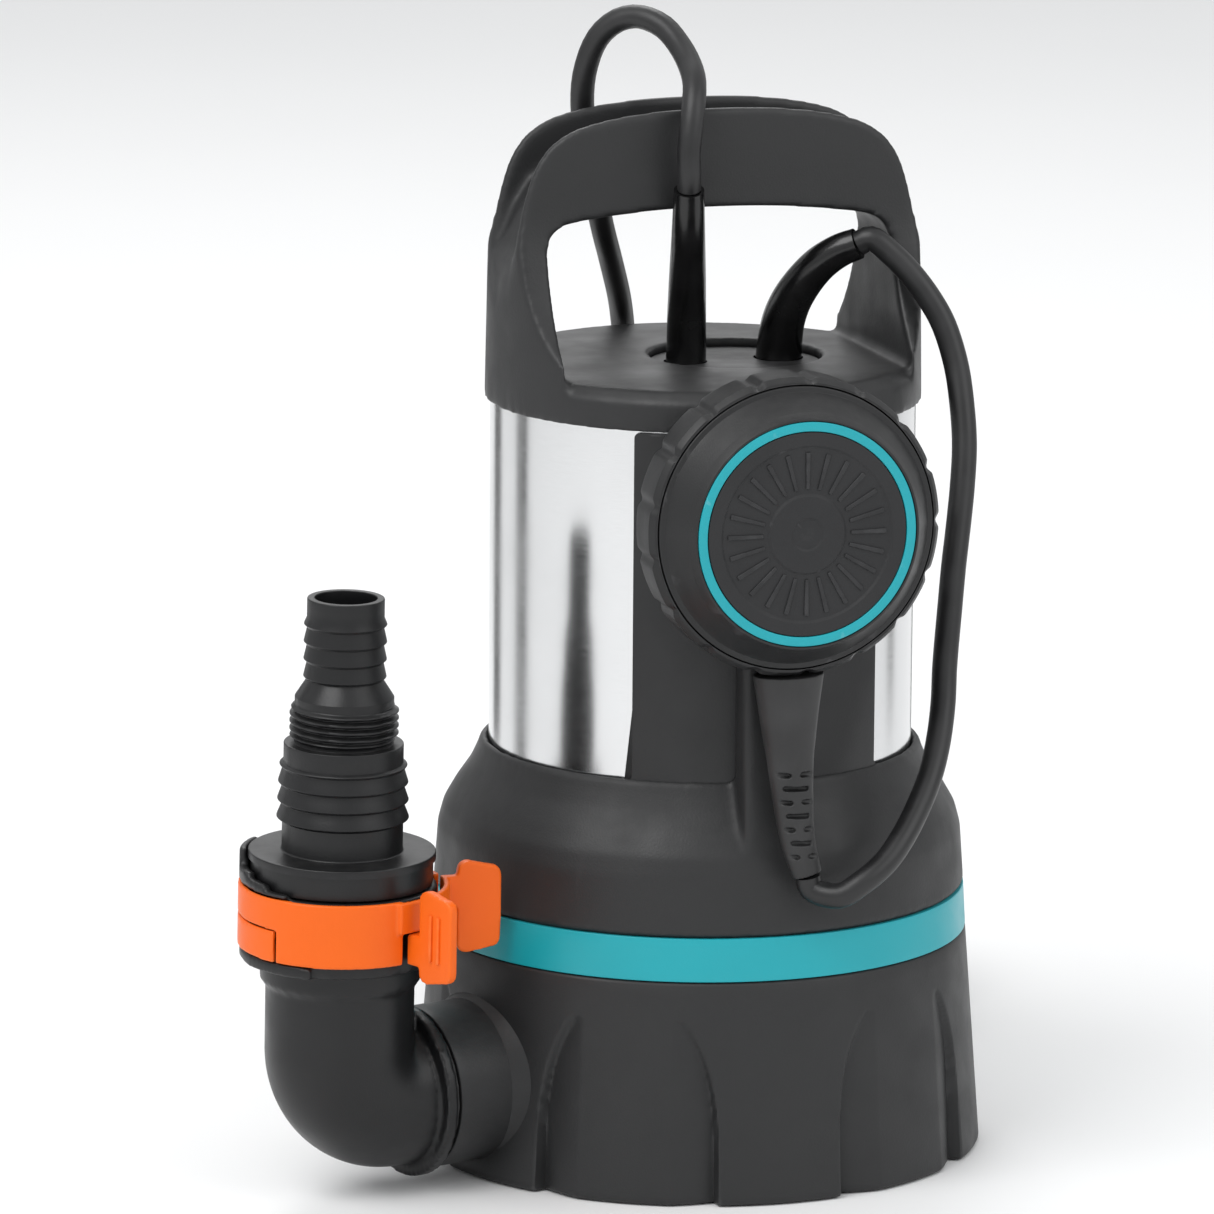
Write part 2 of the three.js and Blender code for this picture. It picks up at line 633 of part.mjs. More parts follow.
function handleCap() {
  const bulk = solid(turned([
    [0, capBottom], [capRadius, capBottom], [capRadius - 0.8, handleTop - 48],
    [capRadius - 1.6, handleTop + 1], [0, handleTop + 1],
  ]));
  const reach = capRadius + 3;
  const arch = bulk.intersect(solid(alongY(handleOutline(), -reach, reach)));
  const body = arch.intersect(solid(alongX(handleSide(), -reach, reach)));
  const window_ = solid(alongY(windowOutline(), -reach, reach));
  const channel = solid(alongY(channelOutline(), -channelHalf, channelHalf));
  const rim = solid(disc(steelRadius + 0.35, capBottom - 1, steelTop + 0.4));
  const hollow = solid(disc(capRadius - 4, capBottom - 1, deckTop - deckThickness));
  const recess = disc(glandRadius + gap, glandTop - glandThickness - gap, deckTop + 1, 28);
  const glandHole = solid(recess.translate(recessCentre.x, recessCentre.y, 0));
  const chamfer = ring([
    [capRadius - deckChamfer, deckTop + 0.01], [capRadius + 4, deckTop + 0.01],
    [capRadius + 4, deckTop - deckChamfer - 4],
  ]);
  const legs = new THREE.Shape();
  legs.moveTo(-windowHalf, 0);
  legs.lineTo(windowHalf, 0);
  legs.lineTo(windowHalf, handleTop);
  legs.lineTo(-windowHalf, handleTop);
  legs.closePath();
  const edge = solid(chamfer).intersect(solid(alongY(legs, -reach, reach)));
  return without(body, window_, channel, rim, hollow, glandHole, edge);
}
piece('handle_cap', handleCap(), darkPlastic);

function glandPlate() {
  const plate = disc(glandRadius, glandTop - glandThickness, glandTop, 28).translate(recessCentre.x, recessCentre.y, 0);
  const holes = [[mainsExit, mainsReliefBase], [floatExit, floatReliefBase]].map(([at, radius]) => {
    const hole = disc(radius + 0.6, glandTop - glandThickness - 1, glandTop + 1, 24);
    return solid(hole.translate(at.x, at.y, 0));
  });
  return without(solid(plate), ...holes);
}
piece('gland_plate', glandPlate(), darkPlastic);

// ---------------------------------------------------------------- strain reliefs
const curveThrough = (points) => new THREE.CatmullRomCurve3(vectors(points), false, 'centripetal');

// The first points of a cord that leaves the end of a curve, in line with it.
function leaving(curve) {
  const end = curve.getPointAt(1);
  const way = curve.getTangentAt(1);
  return [0.5, 4.5].map((d) => end.clone().addScaledVector(way, d));
}

function relief(points, base, tip, segments = 14) {
  const curve = curveThrough(points);
  const length = curve.getLength();
  const outline = [[0, 0]];
  const steps = 9;
  for (let i = 0; i <= steps; i += 1) {
    outline.push([base + ((tip - base) * i) / steps, (length * i) / steps]);
  }
  outline.push([0, length]);
  return bent(turned(outline, segments), curve);
}

const mainsRelief = [
  [mainsExit.x, mainsExit.y, 243], [mainsExit.x, mainsExit.y - 0.8, 250], [-4.2, 4.4, 259], [-7.4, -6.5, 276],
  [-10.9, -18.2, 291], [-12.4, -23.4, 305],
];
piece('mains_strain_relief', relief(mainsRelief, mainsReliefBase, mainsReliefTip), rubber);

const floatRelief = [
  [floatExit.x, floatExit.y, 243], [floatExit.x, floatExit.y - 1, 250], [26.7, 1, 260], [28.2, -7.5, 270],
  [33, -14.3, 278.9], [38.2, -18.5, 283.6], [43, -21.4, 286],
];
piece('float_strain_relief', relief(floatRelief, floatReliefBase, floatReliefTip), rubber);

// ---------------------------------------------------------------- outlet elbow
function outletElbow() {
  const flangeEnd = elbowFlangeStart + elbowFlangeThickness;
  const bendStart = legDistance - bendRadius;
  const spigot = solid(rod(spigotRadius, 92, elbowFlangeStart + 1));
  const flange = solid(rod(elbowFlangeRadius, elbowFlangeStart, flangeEnd, 28));
  const run = solid(rod(elbowRadius, flangeEnd - 1, bendStart, 28));
  // the bend: a disc turned round the corner's axis, and only its outer quarter kept
  const arc = [];
  const half = Math.acos(-bendRadius / elbowRadius);
  for (let i = 0; i <= 10; i += 1) {
    const a = half - (2 * half * i) / 10;
    arc.push([Math.max(0, bendRadius + elbowRadius * Math.cos(a)), elbowRadius * Math.sin(a)]);
  }
  const wheel = turned(arc, 32).rotateX(Math.PI / 2).translate(bendStart, 0, bendRadius);
  const corner = solid(wheel).intersect(solid(box(bendStart - 0.01, 200, -60, 60, -60, bendRadius + 0.01)));
  const horizontal = joined(spigot, flange, run, corner).translate([0, 0, outletHeight]);
  const up = outletHeight + bendRadius;
  const legShape = solid(turned([
    [0, up], [elbowRadius, up], [elbowRadius, socketBottom - 3], [socketRadius, socketBottom],
    [socketRadius, cupFloor - 3.5], [cupRadius - 0.4, cupFloor - 3.5], [cupRadius, cupFloor], [cupRadius, cupTop],
    [0, cupTop],
  ], 28).translate(legDistance, 0, 0));
  const shelf = solid(sector(20, clampOuter - 0.6, -62, 40, cupFloor - 3.5, clampBottom - gap, 10)
    .translate(legDistance, 0, 0));
  // the stepped ramp that turns the adapter's disc: a wall that stands on the cup, over the clamp
  const rampOuter = clampOuter - 0.3;
  const rampFoot = clampTop + gap;
  const steps = [[-62, -30, 1], [-30, -10, 0.5], [-10, 8, 0.34], [8, 24, 0.16]];
  const ramp = steps.map(([start, end, share]) => {
    const top = cupTop + rampHeight * share;
    return solid(sector(adapterCollar + 0.4, rampOuter, start, end, rampFoot, top, 4));
  });
  const link = solid(sector(adapterCollar + 0.4, cupRadius, -62, 24, cupTop - 2, rampFoot + 0.5, 8));
  const discRoom = solid(disc(adapterDisc + 0.4, adapterDiscTop - 3, adapterDiscTop + 4, 28));
  const wall = without(joined(link, ...ramp), discRoom).translate([legDistance, 0, 0]);
  const bores = [
    solid(rod(elbowBore - 1, 91, bendStart + 4).translate(0, 0, outletHeight)),
    solid(new THREE.SphereGeometry(elbowBore, 12, 8).rotateX(Math.PI / 2).translate(bendStart + 6, 0, outletHeight + 4)),
    solid(new THREE.SphereGeometry(elbowBore, 12, 8).rotateX(Math.PI / 2).translate(legDistance, 0, up - 4)),
    solid(disc(elbowBore, up - 6, cupFloor + 1, smallSegments).translate(legDistance, 0, 0)),
    solid(disc(cupBore, cupFloor + 2, cupTop + 5, 28).translate(legDistance, 0, 0)),
  ];
  return joined(without(joined(horizontal, legShape, shelf), ...bores), wall).translate([0, 0, -outletHeight]);
}
piece('outlet_elbow', outletElbow(), blackPlastic, elbow);
const faceSeal = tube(24.4, stubBore + 0.4, stubEnd + gap, elbowFlangeStart - gap, smallSegments).rotateY(Math.PI / 2);
piece('outlet_seal', faceSeal, rubber, elbow);
piece('coupling_gasket', tube(cupBore - 0.6, elbowBore + 0.5, cupFloor + 2.3, cupFloor + 4.6, smallSegments), rubber, leg);

// ---------------------------------------------------------------- clamp
// Angles run counter-clockwise from the outlet's outward direction, where the arms hinge.
const wingFront = 100;
const wingRear = 160;
const clampMiddle = (clampBottom + clampTop) / 2;
const crossInner = clampInner + 1.5; // the crossing ends lie outside the band, with room to open
const crossOuter = clampOuter + 1.5;
const tongueInner = clampInner + 0.5;

function wing(angle, thickness) {
  const shape = new THREE.Shape();
  const [from, to] = [clampOuter + 4.6, wingReach];
  const half = wingHeight / 2;
  const corner = 3.5;
  shape.moveTo(from + corner, -half);
  shape.lineTo(to - corner, -half + 1.5);
  shape.quadraticCurveTo(to, -half + 1.5, to, -half + 1.5 + corner);
  shape.lineTo(to, half - corner - 1.5);
  shape.quadraticCurveTo(to, half - 1.5, to - corner, half - 1.5);
  shape.lineTo(from + corner, half);
  shape.quadraticCurveTo(from, half, from, half - corner);
  shape.lineTo(from, -half + corner);
  shape.quadraticCurveTo(from, -half, from + corner, -half);
  return alongY(shape, -thickness / 2, thickness / 2, 4).translate(0, 0, clampMiddle).rotateZ(radians(angle));
}

function clampFrontArm() {
  const split = clampMiddle + gap / 2;
  const band = solid(sector(clampInner, clampOuter, 18, 94, clampBottom, clampTop, 10));
  const crossing = solid(sector(crossInner, crossOuter, 90, wingRear, split, clampTop, 8));
  const tongue = solid(sector(tongueInner, clampOuter, -34, 19, split, clampTop, 7));
  const neck = solid(box(crossInner, clampOuter + 6, -1.6, 1.6, split, clampTop).rotateZ(radians(wingRear)));
  return joined(band, crossing, tongue, neck, solid(wing(wingRear, wingThickness)));
}

function clampRearArm() {
  const split = clampMiddle - gap / 2;
  const band = solid(sector(clampInner, clampOuter, 166, 324, clampBottom, clampTop, 18));
  const crossing = solid(sector(crossInner, crossOuter, wingFront, 170, clampBottom, split, 8));
  const tongue = solid(sector(tongueInner, clampOuter, -37, 16.5, clampBottom, split, 7));
  const neck = solid(box(crossInner, clampOuter + 6, -1.6, 1.6, clampBottom, split).rotateZ(radians(wingFront)));
  return joined(band, crossing, tongue, neck, solid(wing(wingFront, wingThickness)));
}
piece('clamp_front_arm', clampFrontArm(), orange, leg);
piece('clamp_rear_arm', clampRearArm(), orange, leg);

// ---------------------------------------------------------------- hose adapter
function hoseAdapter() {
  const outline = [
    [15, cupFloor + 5], [adapterPlug, cupFloor + 5], [adapterPlug, cupTop + 0.5], [adapterCollar, cupTop + 0.5],
    [adapterCollar, adapterDiscTop - 2.6], [adapterDisc, adapterDiscTop - 2.4], [adapterDisc, adapterDiscTop],
    [largeBarbRadius - 1.8, adapterDiscTop],
  ];
  const largeBottom = 119.8;
  const largePitch = 5.5;
  for (let i = 0; i < 4; i += 1) {
    outline.push([largeBarbRadius - 1.8, largeBottom - 1 + i * largePitch], [largeBarbRadius - 0.2 * i, largeBottom + i * largePitch]);
  }
  const shoulder = 143;
  outline.push([largeBarbRadius - 2, shoulder - 6], [largeBarbRadius - 2, shoulder]);
  for (let i = 0; i < 5; i += 1) {
    const z = shoulder + 0.8 + i * threadPitch;
    outline.push([threadRadius - 1.5, z], [threadRadius, z + threadPitch / 2]);
  }
  const threadTop = shoulder + 0.8 + 5 * threadPitch;
  outline.push([threadRadius - 1.5, threadTop], [threadRadius - 1.5, threadTop + 2]);
  const smallBottom = 163.7;
  const smallPitch = 5.4;
  for (let i = 0; i < 4; i += 1) {
    outline.push([smallBarbRadius - 1, smallBottom - 1 + i * smallPitch], [smallBarbRadius, smallBottom + i * smallPitch]);
  }
  outline.push([smallBarbRadius - 0.9, smallBottom + 3.4 * smallPitch], [smallBarbRadius - 0.9, adapterTop]);
  outline.push([adapterBore, adapterTop], [adapterBore, threadTop], [15, adapterDiscTop]);
  return ring(outline, 20);
}
piece('hose_adapter', hoseAdapter(), blackPlastic, leg);

// ---------------------------------------------------------------- float switch
function floatRearShell() {
  const back = -floatRingHalf;
  const inner = floatRadius - floatWall;
  const geometry = ring([
    [9, back], [floatRadius - 3, back], [floatRadius, back + 3], [floatRadius, floatRingHalf - 2],
    [floatRadius - 1.5, floatRingHalf], [inner, floatRingHalf], [inner, back + floatWall], [9, back + floatWall],
  ], 3 * gripNotches);
  const p = geometry.attributes.position;
  for (let i = 0; i < p.count; i += 1) {
    const column = Math.floor(i / 9) % (3 * gripNotches);
    const radius = Math.hypot(p.getX(i), p.getY(i));
    if (column % 3 === 0 && radius > inner + 0.1 && radius > floatRadius - 1.6) {
      const scale = (radius - gripNotchDepth) / radius;
      p.setXY(i, p.getX(i) * scale, p.getY(i) * scale);
    }
  }
  // the closed middle of the back wall, with the lug that hangs in the rail
  const middle = solid(disc(10, back, back + floatWall, 24));
  const lugTop = ribTop - 2 - floatHeight;
  const neckEnd = -(floatDistance - ribFrontTop) + ribWall + 0.5;
  const neck = box(-2.5, 2.5, lugTop - 8, lugTop, neckEnd - 2 - 20, back + 1);
  const clipped = solid(neck).intersect(solid(box(-5, 5, -60, 60, back - 5.7, back + 1)));
  const head = solid(box(-5.6, 5.6, lugTop - 8, lugTop, back - 7.5, back - 5));
  return joined(solid(geometry), middle, clipped, head);
}

const bootCurve = curveThrough([
  [0.4, -88, bootTop], [0.8, -88, 150], [1.8, -88.3, 132], [3.9, -88.7, 114], bootEnd.toArray(),
]);

piece('float_rear_shell', floatRearShell(), blackPlastic, float);
piece('float_front_cap', ring([
  [0.001, domeHeight - 2.4], [plateauRadius - 3, domeHeight - 3.8], [domeRadius - 3.2, floatRingHalf - 1],
  [domeRadius - 3.2, 4], [floatRadius - floatWall - 0.4, 4], [floatRadius - floatWall - 0.4, floatRingHalf + 0.4],
  [domeRadius, floatRingHalf + 0.6], [36.6, domeHeight - 2.6], [plateauRadius, domeHeight],
  [accentOuter + 0.25, domeHeight], [accentOuter + 0.25, domeHeight - 1.4], [0.001, domeHeight - 1.4],
].map(([r, z]) => [r < 0.01 ? 0 : r, z]), roundSegments), darkPlastic, float);
piece('float_accent_ring', tube(accentOuter, accentInner, domeHeight - 1.1, domeHeight + 0.1, roundSegments), turquoise, float);
piece('float_face_plate', disc(accentInner - 0.25, domeHeight - 1.1, domeHeight, roundSegments), darkPlastic, float);
piece('switch_guide_tube', ring([
  [ballRadius + 0.4, -24], [ballRadius + 2, -24], [ballRadius + 2, 24], [ballRadius + 0.4, 24],
], 24).rotateX(-Math.PI / 2).translate(0, -2, 3), lightPlastic, float);
piece('switch_ball', new THREE.SphereGeometry(ballRadius, 14, 8).translate(0, -18.7, 3), steel, float);
piece('microswitch', new THREE.ExtrudeGeometry(new THREE.Shape([[-10, 0], [10, 0], [10, 8], [3, 8], [0, 9.5], [-3, 8], [-10, 8]]
  .map(([x, y]) => new THREE.Vector2(x, y))), { depth: 7, bevelEnabled: false }).translate(0, -36.5, -1), blackPlastic, float);

function floatBoot() {
  const length = bootCurve.getLength();
  const profile = [[11.2, 0], [9.6, 10], [8, 22], [7.4, 26], [6.6, 36], [5.6, 50], [4.6, length]];
  const shape = bent(turned([[0, 0], ...profile, [0, length]], 14).scale(1, bootFlat, 1), bootCurve);
  return shape;
}
piece('float_boot', floatBoot(), rubber);

// ---------------------------------------------------------------- cords
const floatLeadRoute = [...leaving(curveThrough(floatRelief)), ...vectors([
  [52.6, -26.2, 283], [58.2, -29.4, 276.7], [63.4, -32.4, 269],
  [66.9, -34.8, 261.8], [69.8, -38.6, 249.8], [70.4, -43, 238], [70, -47.1, 226.2], [68.3, -50.7, 214.3],
  [66, -54.2, 202.5], [63.5, -57.6, 190.7], [61.6, -60.2, 178.8], [58.7, -64.5, 160.9], [57, -68.2, 149.2],
  [53.7, -73.4, 137.9], [49, -79.3, 128.4], [43.1, -84.8, 119.9], [36.3, -90, 112], [30.1, -93.3, 106.2],
  [22.5, -95.1, 101.2], [15.5, -94, 97.2],
]), ...leaving(bootCurve).reverse()];
piece('float_cord', cord(floatLeadRoute, floatLeadDiameter, 8), rubber);

const mainsRoute = [...leaving(curveThrough(mainsRelief)), ...vectors([
  [-13, -24.8, 317.4], [-11.9, -24, 325], [-10.6, -21.7, 331.6],
  [-8.9, -16.8, 336.9], [-8.1, -9, 341.7], [-9.1, -1, 346.8], [-11.8, 6, 351.4], [-15.5, 11, 353.5],
  [-18.8, 15, 353.8], [-22.9, 18.5, 352.3], [-26.8, 21.5, 348.6], [-29.3, 23.4, 344], [-31, 25, 337.9],
  [-31.7, 26.6, 331.5], [-31, 29, 322], [-28, 33, 309], [-20.7, 42, 285], [-14.2, 53, 271], [-7.5, 65.5, 256.5],
  [-3, 75.5, 243], [0.5, 82, 227], [4, 86, 203], [8, 91, 160], [9.5, 95, 125], [12, 99.5, 92],
  [14, 103, 68], [13.6, 105.8, 53], [9, 109.5, 45], [1.2, 113.6, 41.8], [-4.2, 117.9, 39.6],
])];
const coilHeight = coilRows * mainsDiameter;
piece('mains_cord', cord(mainsRoute, mainsDiameter, 8), rubber);
const coilHalf = coilHeight / 2;
const coilHalfWidth = (coilTurns + 1) * (mainsDiameter / 2) + 0.25;
const octagon = Math.cos(Math.PI / 8);
const coilBottom = 1.6;
const coilSection = [];
for (let i = 0; i < 8; i += 1) {
  const a = (Math.PI * (i + 0.5)) / 4;
  const out = (coilHalfWidth / octagon) * Math.cos(a);
  coilSection.push([coilMeanRadius + out, coilBottom + coilHalf + (coilHalf / octagon) * Math.sin(a)]);
}
const coil = ring(coilSection, 36).translate(coilCentre.x, coilCentre.y, 0);
piece('mains_coil', coil, rubber);

// the tie: a strap round the bundle
const strap = new THREE.Shape();
const strapHole = new THREE.Path();
for (let i = 0; i <= 8; i += 1) {
  const a = (Math.PI * (i + 0.5)) / 4;
  const [outer, inner] = [1.5, 0.3].map((d) => [
    ((coilHalfWidth + d) / octagon) * Math.cos(a), ((coilHalf + d) / octagon) * Math.sin(a),
  ]);
  if (i === 0) {
    strap.moveTo(...outer);
    strapHole.moveTo(...inner);
  } else {
    strap.lineTo(...outer);
    strapHole.lineTo(...inner);
  }
}
strap.holes.push(strapHole);
const strapWidth = 8;
const strapBand = new THREE.ExtrudeGeometry(strap, { depth: strapWidth, bevelEnabled: false })
  .rotateX(Math.PI / 2)
  .translate(coilMeanRadius, strapWidth / 2, coilBottom + coilHalf)
  .rotateZ(radians(tieAngle))
  .translate(coilCentre.x, coilCentre.y, 0);
piece('coil_tie', strapBand, blackPlastic);

// the mains plug, lying on the coil
const plugFloor = coilBottom + coilHeight + 0.6;
function plugBody() {
  const outline = new THREE.Shape();
  outline.moveTo(-plugLength / 2, -5);
  outline.lineTo(-plugLength / 2 + 16, -6.5);
  outline.quadraticCurveTo(-4, -plugWidth / 2, 6, -plugWidth / 2);
  outline.lineTo(plugLength / 2, -plugWidth / 2 + 1);
  outline.lineTo(plugLength / 2, plugWidth / 2 - 1);
  outline.lineTo(6, plugWidth / 2);
  outline.quadraticCurveTo(-4, plugWidth / 2, -plugLength / 2 + 16, 6.5);
  outline.lineTo(-plugLength / 2, 5);
  outline.closePath();
  const settings = { depth: plugHeight - 5, bevelThickness: 2.5, bevelSize: 2, bevelOffset: -2, bevelSegments: 2 };
  return new THREE.ExtrudeGeometry(outline, { ...settings, curveSegments: 5 }).translate(0, 0, 2.5);
}

function onCoil(geometry) {
  return geometry.rotateZ(radians(plugAngle))
    .translate(coilCentre.x + plugPlace.x, coilCentre.y + plugPlace.y, plugFloor);
}
piece('mains_plug', onCoil(plugBody()), rubber);
[-1, 1].forEach((side, i) => {
  const pin = rod(2.4, plugLength / 2 + gap, plugLength / 2 + 19, 12).translate(0, side * 9.5, plugHeight / 2);
  piece(`plug_pin_${i + 1}`, onCoil(pin), brass);
});

pump.updateMatrixWorld(true);
export default pump;
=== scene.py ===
"""A submersible sump pump with float switch, swivel outlet elbow, quick clamp and stepped hose adapter.

Sizes in this file are millimetres until a mesh is made; meshes are in metres. The pump's axis is +Z and
its front faces -Y.
"""
import json
from math import atan2, ceil, cos, hypot, pi, radians, sin, sqrt, tan

import bmesh
import bpy
from mathutils import Matrix, Vector


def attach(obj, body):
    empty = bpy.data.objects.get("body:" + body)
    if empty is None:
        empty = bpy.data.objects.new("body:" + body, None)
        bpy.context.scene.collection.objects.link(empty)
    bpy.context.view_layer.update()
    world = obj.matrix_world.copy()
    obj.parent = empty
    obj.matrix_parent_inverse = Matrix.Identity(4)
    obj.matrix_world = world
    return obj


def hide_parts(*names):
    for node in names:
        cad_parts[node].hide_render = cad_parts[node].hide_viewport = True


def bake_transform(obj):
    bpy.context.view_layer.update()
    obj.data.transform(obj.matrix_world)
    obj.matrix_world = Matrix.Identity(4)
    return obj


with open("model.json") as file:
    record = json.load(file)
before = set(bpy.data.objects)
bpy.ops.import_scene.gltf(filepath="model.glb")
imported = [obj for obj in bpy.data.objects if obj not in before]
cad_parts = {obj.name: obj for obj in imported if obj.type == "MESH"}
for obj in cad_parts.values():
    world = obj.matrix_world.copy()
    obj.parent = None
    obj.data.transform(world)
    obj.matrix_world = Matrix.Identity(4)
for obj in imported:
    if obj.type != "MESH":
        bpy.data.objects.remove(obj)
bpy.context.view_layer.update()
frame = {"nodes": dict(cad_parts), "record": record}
MM = 0.001

# ---------------------------------------------------------------- sizes, in millimetres
STEEL_R = 66.3
STEEL_INNER_R = 65.5
STEEL_Z = (118.6, 242.5)
CAP_SIDES = 40          # the plain solid's number of sides, put back onto a true circle here
FOOT_TOP = 69.0
FOOT_R = (89.6, 84.2)
BAND = (69.3, 82.7)
BAND_INNER_R = 80.8
LIP_TOP = 128.4
PANEL_HALF = 35.2       # degrees to each side of the front
PANEL_TOP = 236.1
PANEL_CORNER = 1.3
RECESS_TOP = 57.0
RECESS_DEPTH = 4.2
RECESS_SOFT = 22.5      # degrees from a buttress's middle to where its hollow has faded out
BUTTRESSES = (-128, -64, 0, 64, 128, 180)
BUTTRESS_HALF = 12.6    # degrees, at the floor
BUTTRESS_SPREAD = 7.4   # degrees more at the top of the hollow
BUTTRESS_EDGE = 1.1     # degrees over which its side falls
RIB_TOP = 206.0

OUTLET_AZIMUTH = -72.0
OUTLET_Z = 29.5
ELBOW_LEAN = 1.6
LEG = 135.0
ELBOW_R = 22.85
BEND_R = 17.5
COLLAR_RADII = (24.6, 27.0, 29.2)
WING_ANGLE = 100
WING_RIBS = (41.6, 44.9)
WING_RIB_Z = (82.5, 97.0)
THREAD_ROOT_R = 15.15
THREAD_DEPTH = 1.5
THREAD_PITCH = 2.31
THREAD_Z = (143.8, 155.35)

FLOAT_AT = (0.0, -86.5, 212.5)
FLOAT_R = 46.0
GRIP_NOTCHES = 17
NOTCH_HALF = 2.6
NOTCH_DEPTH = 1.1
BOOT_SLOT_ROWS = 7
BOOT_SLOT_TOP = 135.5
BOOT_SLOT_STEP = 4.3

MAINS_D = 7.5
FLOAT_D = 7.8
COIL_CENTRE = (52.0, 169.0)
COIL_RADII = (77.0, 39.0)
COIL_TURNS = 5
COIL_LAYERS = 5
COIL_STEPS = 26         # points in each turn
COIL_START = -147       # degrees
COIL_BOTTOM = 1.6


# ---------------------------------------------------------------- mesh helpers
def make_object(name, vertices, faces, smooth_below=38):
    """A closed mesh from points in millimetres, shaded smooth except across edges sharper than an angle."""
    mesh = bpy.data.meshes.new(name)
    mesh.from_pydata([[c * MM for c in v] for v in vertices], [], faces)
    obj = bpy.data.objects.new(name, mesh)
    bpy.context.scene.collection.objects.link(obj)
    tidy(obj, smooth_below)
    return obj


def tidy(obj, smooth_below=38, recalculate=True, merge=True):
    """Merges doubled points, turns faces outwards, and shades smooth below an angle in degrees."""
    bm = bmesh.new()
    bm.from_mesh(obj.data)
    if merge:
        bmesh.ops.remove_doubles(bm, verts=bm.verts, dist=0.004 * MM)
    if recalculate:
        bmesh.ops.recalc_face_normals(bm, faces=bm.faces)
    bm.to_mesh(obj.data)
    bm.free()
    obj.data.polygons.foreach_set("use_smooth", [True] * len(obj.data.polygons))
    obj.data.set_sharp_from_angle(angle=radians(smooth_below))
    obj.data.update()


def grid_faces(rows, columns, close_columns=True):
    """Faces of a grid whose points are stored column after column. Each column is a closed loop."""
    faces = []
    for c in range(columns if close_columns else columns - 1):
        for r in range(rows):
            a = c * rows + r
            b = c * rows + (r + 1) % rows
            d = ((c + 1) % columns) * rows + r
            e = ((c + 1) % columns) * rows + (r + 1) % rows
            faces.append((a, b, e, d))
    return faces


def fillet(points, steps=4):
    """Rounds the corners of a closed outline. A point is (x, z) or (x, z, radius)."""
    out = []
    count = len(points)
    for i, point in enumerate(points):
        here = Vector(point[:2])
        radius = point[2] if len(point) > 2 else 0.0
        before = Vector(points[i - 1][:2]) - here
        after = Vector(points[(i + 1) % count][:2]) - here
        if radius <= 0 or before.length < 1e-6 or after.length < 1e-6:
            out.append(tuple(here))
            continue
        angle = before.angle(after)
        if angle > pi - 0.03:
            out.append(tuple(here))
            continue
        reach = min(radius / tan(angle / 2), before.length * 0.49, after.length * 0.49)
        start = here + before.normalized() * reach
        end = here + after.normalized() * reach
        for k in range(steps + 1):
            t = k / steps
            out.append(tuple((1 - t) ** 2 * start + 2 * t * (1 - t) * here + t * t * end))
    return out


def spaced(points, longest=3.0):
    """A closed outline with no side longer than a length, so that edge wear stays at the edges."""
    out = []
    for a, b in zip(points, points[1:] + points[:1]):
        count = max(1, ceil(hypot(b[0] - a[0], b[1] - a[1]) / longest))
        out += [(a[0] + (b[0] - a[0]) * k / count, a[1] + (b[1] - a[1]) * k / count) for k in range(count)]
    return out


def turned(name, outline, segments=160, steps=4, warp=None):
    """A body of revolution round Z from a closed outline of (radius, height, corner radius)."""
    points = spaced(fillet(outline, steps))
    vertices = []
    for c in range(segments):
        a = 2 * pi * c / segments
        for r, z in points:
            if warp:
                r, z = warp(r, z, a)
            vertices.append((r * cos(a), r * sin(a), z))
    return make_object(name, vertices, grid_faces(len(points), segments))


def rectangle(left, right, low, high):
    """An outline with four corners."""
    return [(left, low), (right, low), (right, high), (left, high)]


def slab(name, outline, low, high, along="Y"):
    """An outline pushed from low to high along an axis. It is drawn in X and Z, or Y and Z, or X and Y."""
    place = {
        "Y": lambda u, v, w: (u, w, v),
        "X": lambda u, v, w: (w, u, v),
        "Z": lambda u, v, w: (u, v, w),
    }[along]
    count = len(outline)
    vertices = [place(u, v, low) for u, v in outline] + [place(u, v, high) for u, v in outline]
    faces = [(i, (i + 1) % count, count + (i + 1) % count, count + i) for i in range(count)]
    faces += [tuple(range(count)), tuple(range(count, 2 * count))]
    return make_object(name, vertices, faces)


def wrapped(name, span, heights, inner, outer, columns=64):
    """A curved plate round Z. span(z) gives its first and last angle in degrees, from +X."""
    vertices = []
    rows = 2 * len(heights)
    for c in range(columns + 1):
        for radius, order in ((outer, heights), (inner, heights[::-1])):
            for z in order:
                first, last = span(z)
                a = radians(first + (last - first) * c / columns)
                vertices.append((radius * cos(a), radius * sin(a), z))
    faces = grid_faces(rows, columns + 1, close_columns=False)
    faces += [tuple(range(rows)), tuple(columns * rows + r for r in range(rows))]
    return make_object(name, vertices, faces)


def evaluated(obj):
    """The object's mesh with its modifiers applied and removed."""
    depsgraph = bpy.context.evaluated_depsgraph_get()
    mesh = bpy.data.meshes.new_from_object(obj.evaluated_get(depsgraph))
    obj.modifiers.clear()
    old = obj.data
    obj.data = mesh
    mesh.name = obj.name
    bpy.data.meshes.remove(old)
    return obj


def combine(base, tools, operation):
    """Adds solids to a solid or cuts them from it, and removes them."""
    for tool in tools:
        cut = base.modifiers.new("cut", "BOOLEAN")
        cut.object = tool
        cut.operation = operation
        cut.solver = "EXACT"
    evaluated(base)
    for tool in tools:
        bpy.data.objects.remove(tool)
    return base


def remesh(obj, voxel):
    """Rebuilds a solid from small even faces. voxel is their side in millimetres."""
    skin = obj.modifiers.new("skin", "REMESH")
    skin.mode = "VOXEL"
    skin.voxel_size = voxel * MM
    return evaluated(obj)


def relax(obj, passes):
    """Rounds the edges of an evenly meshed solid, as a mould does."""
    smooth = obj.modifiers.new("smooth", "SMOOTH")
    smooth.factor = 0.5
    smooth.iterations = passes
    evaluated(obj)
    obj.data.polygons.foreach_set("use_smooth", [True] * len(obj.data.polygons))
    return obj


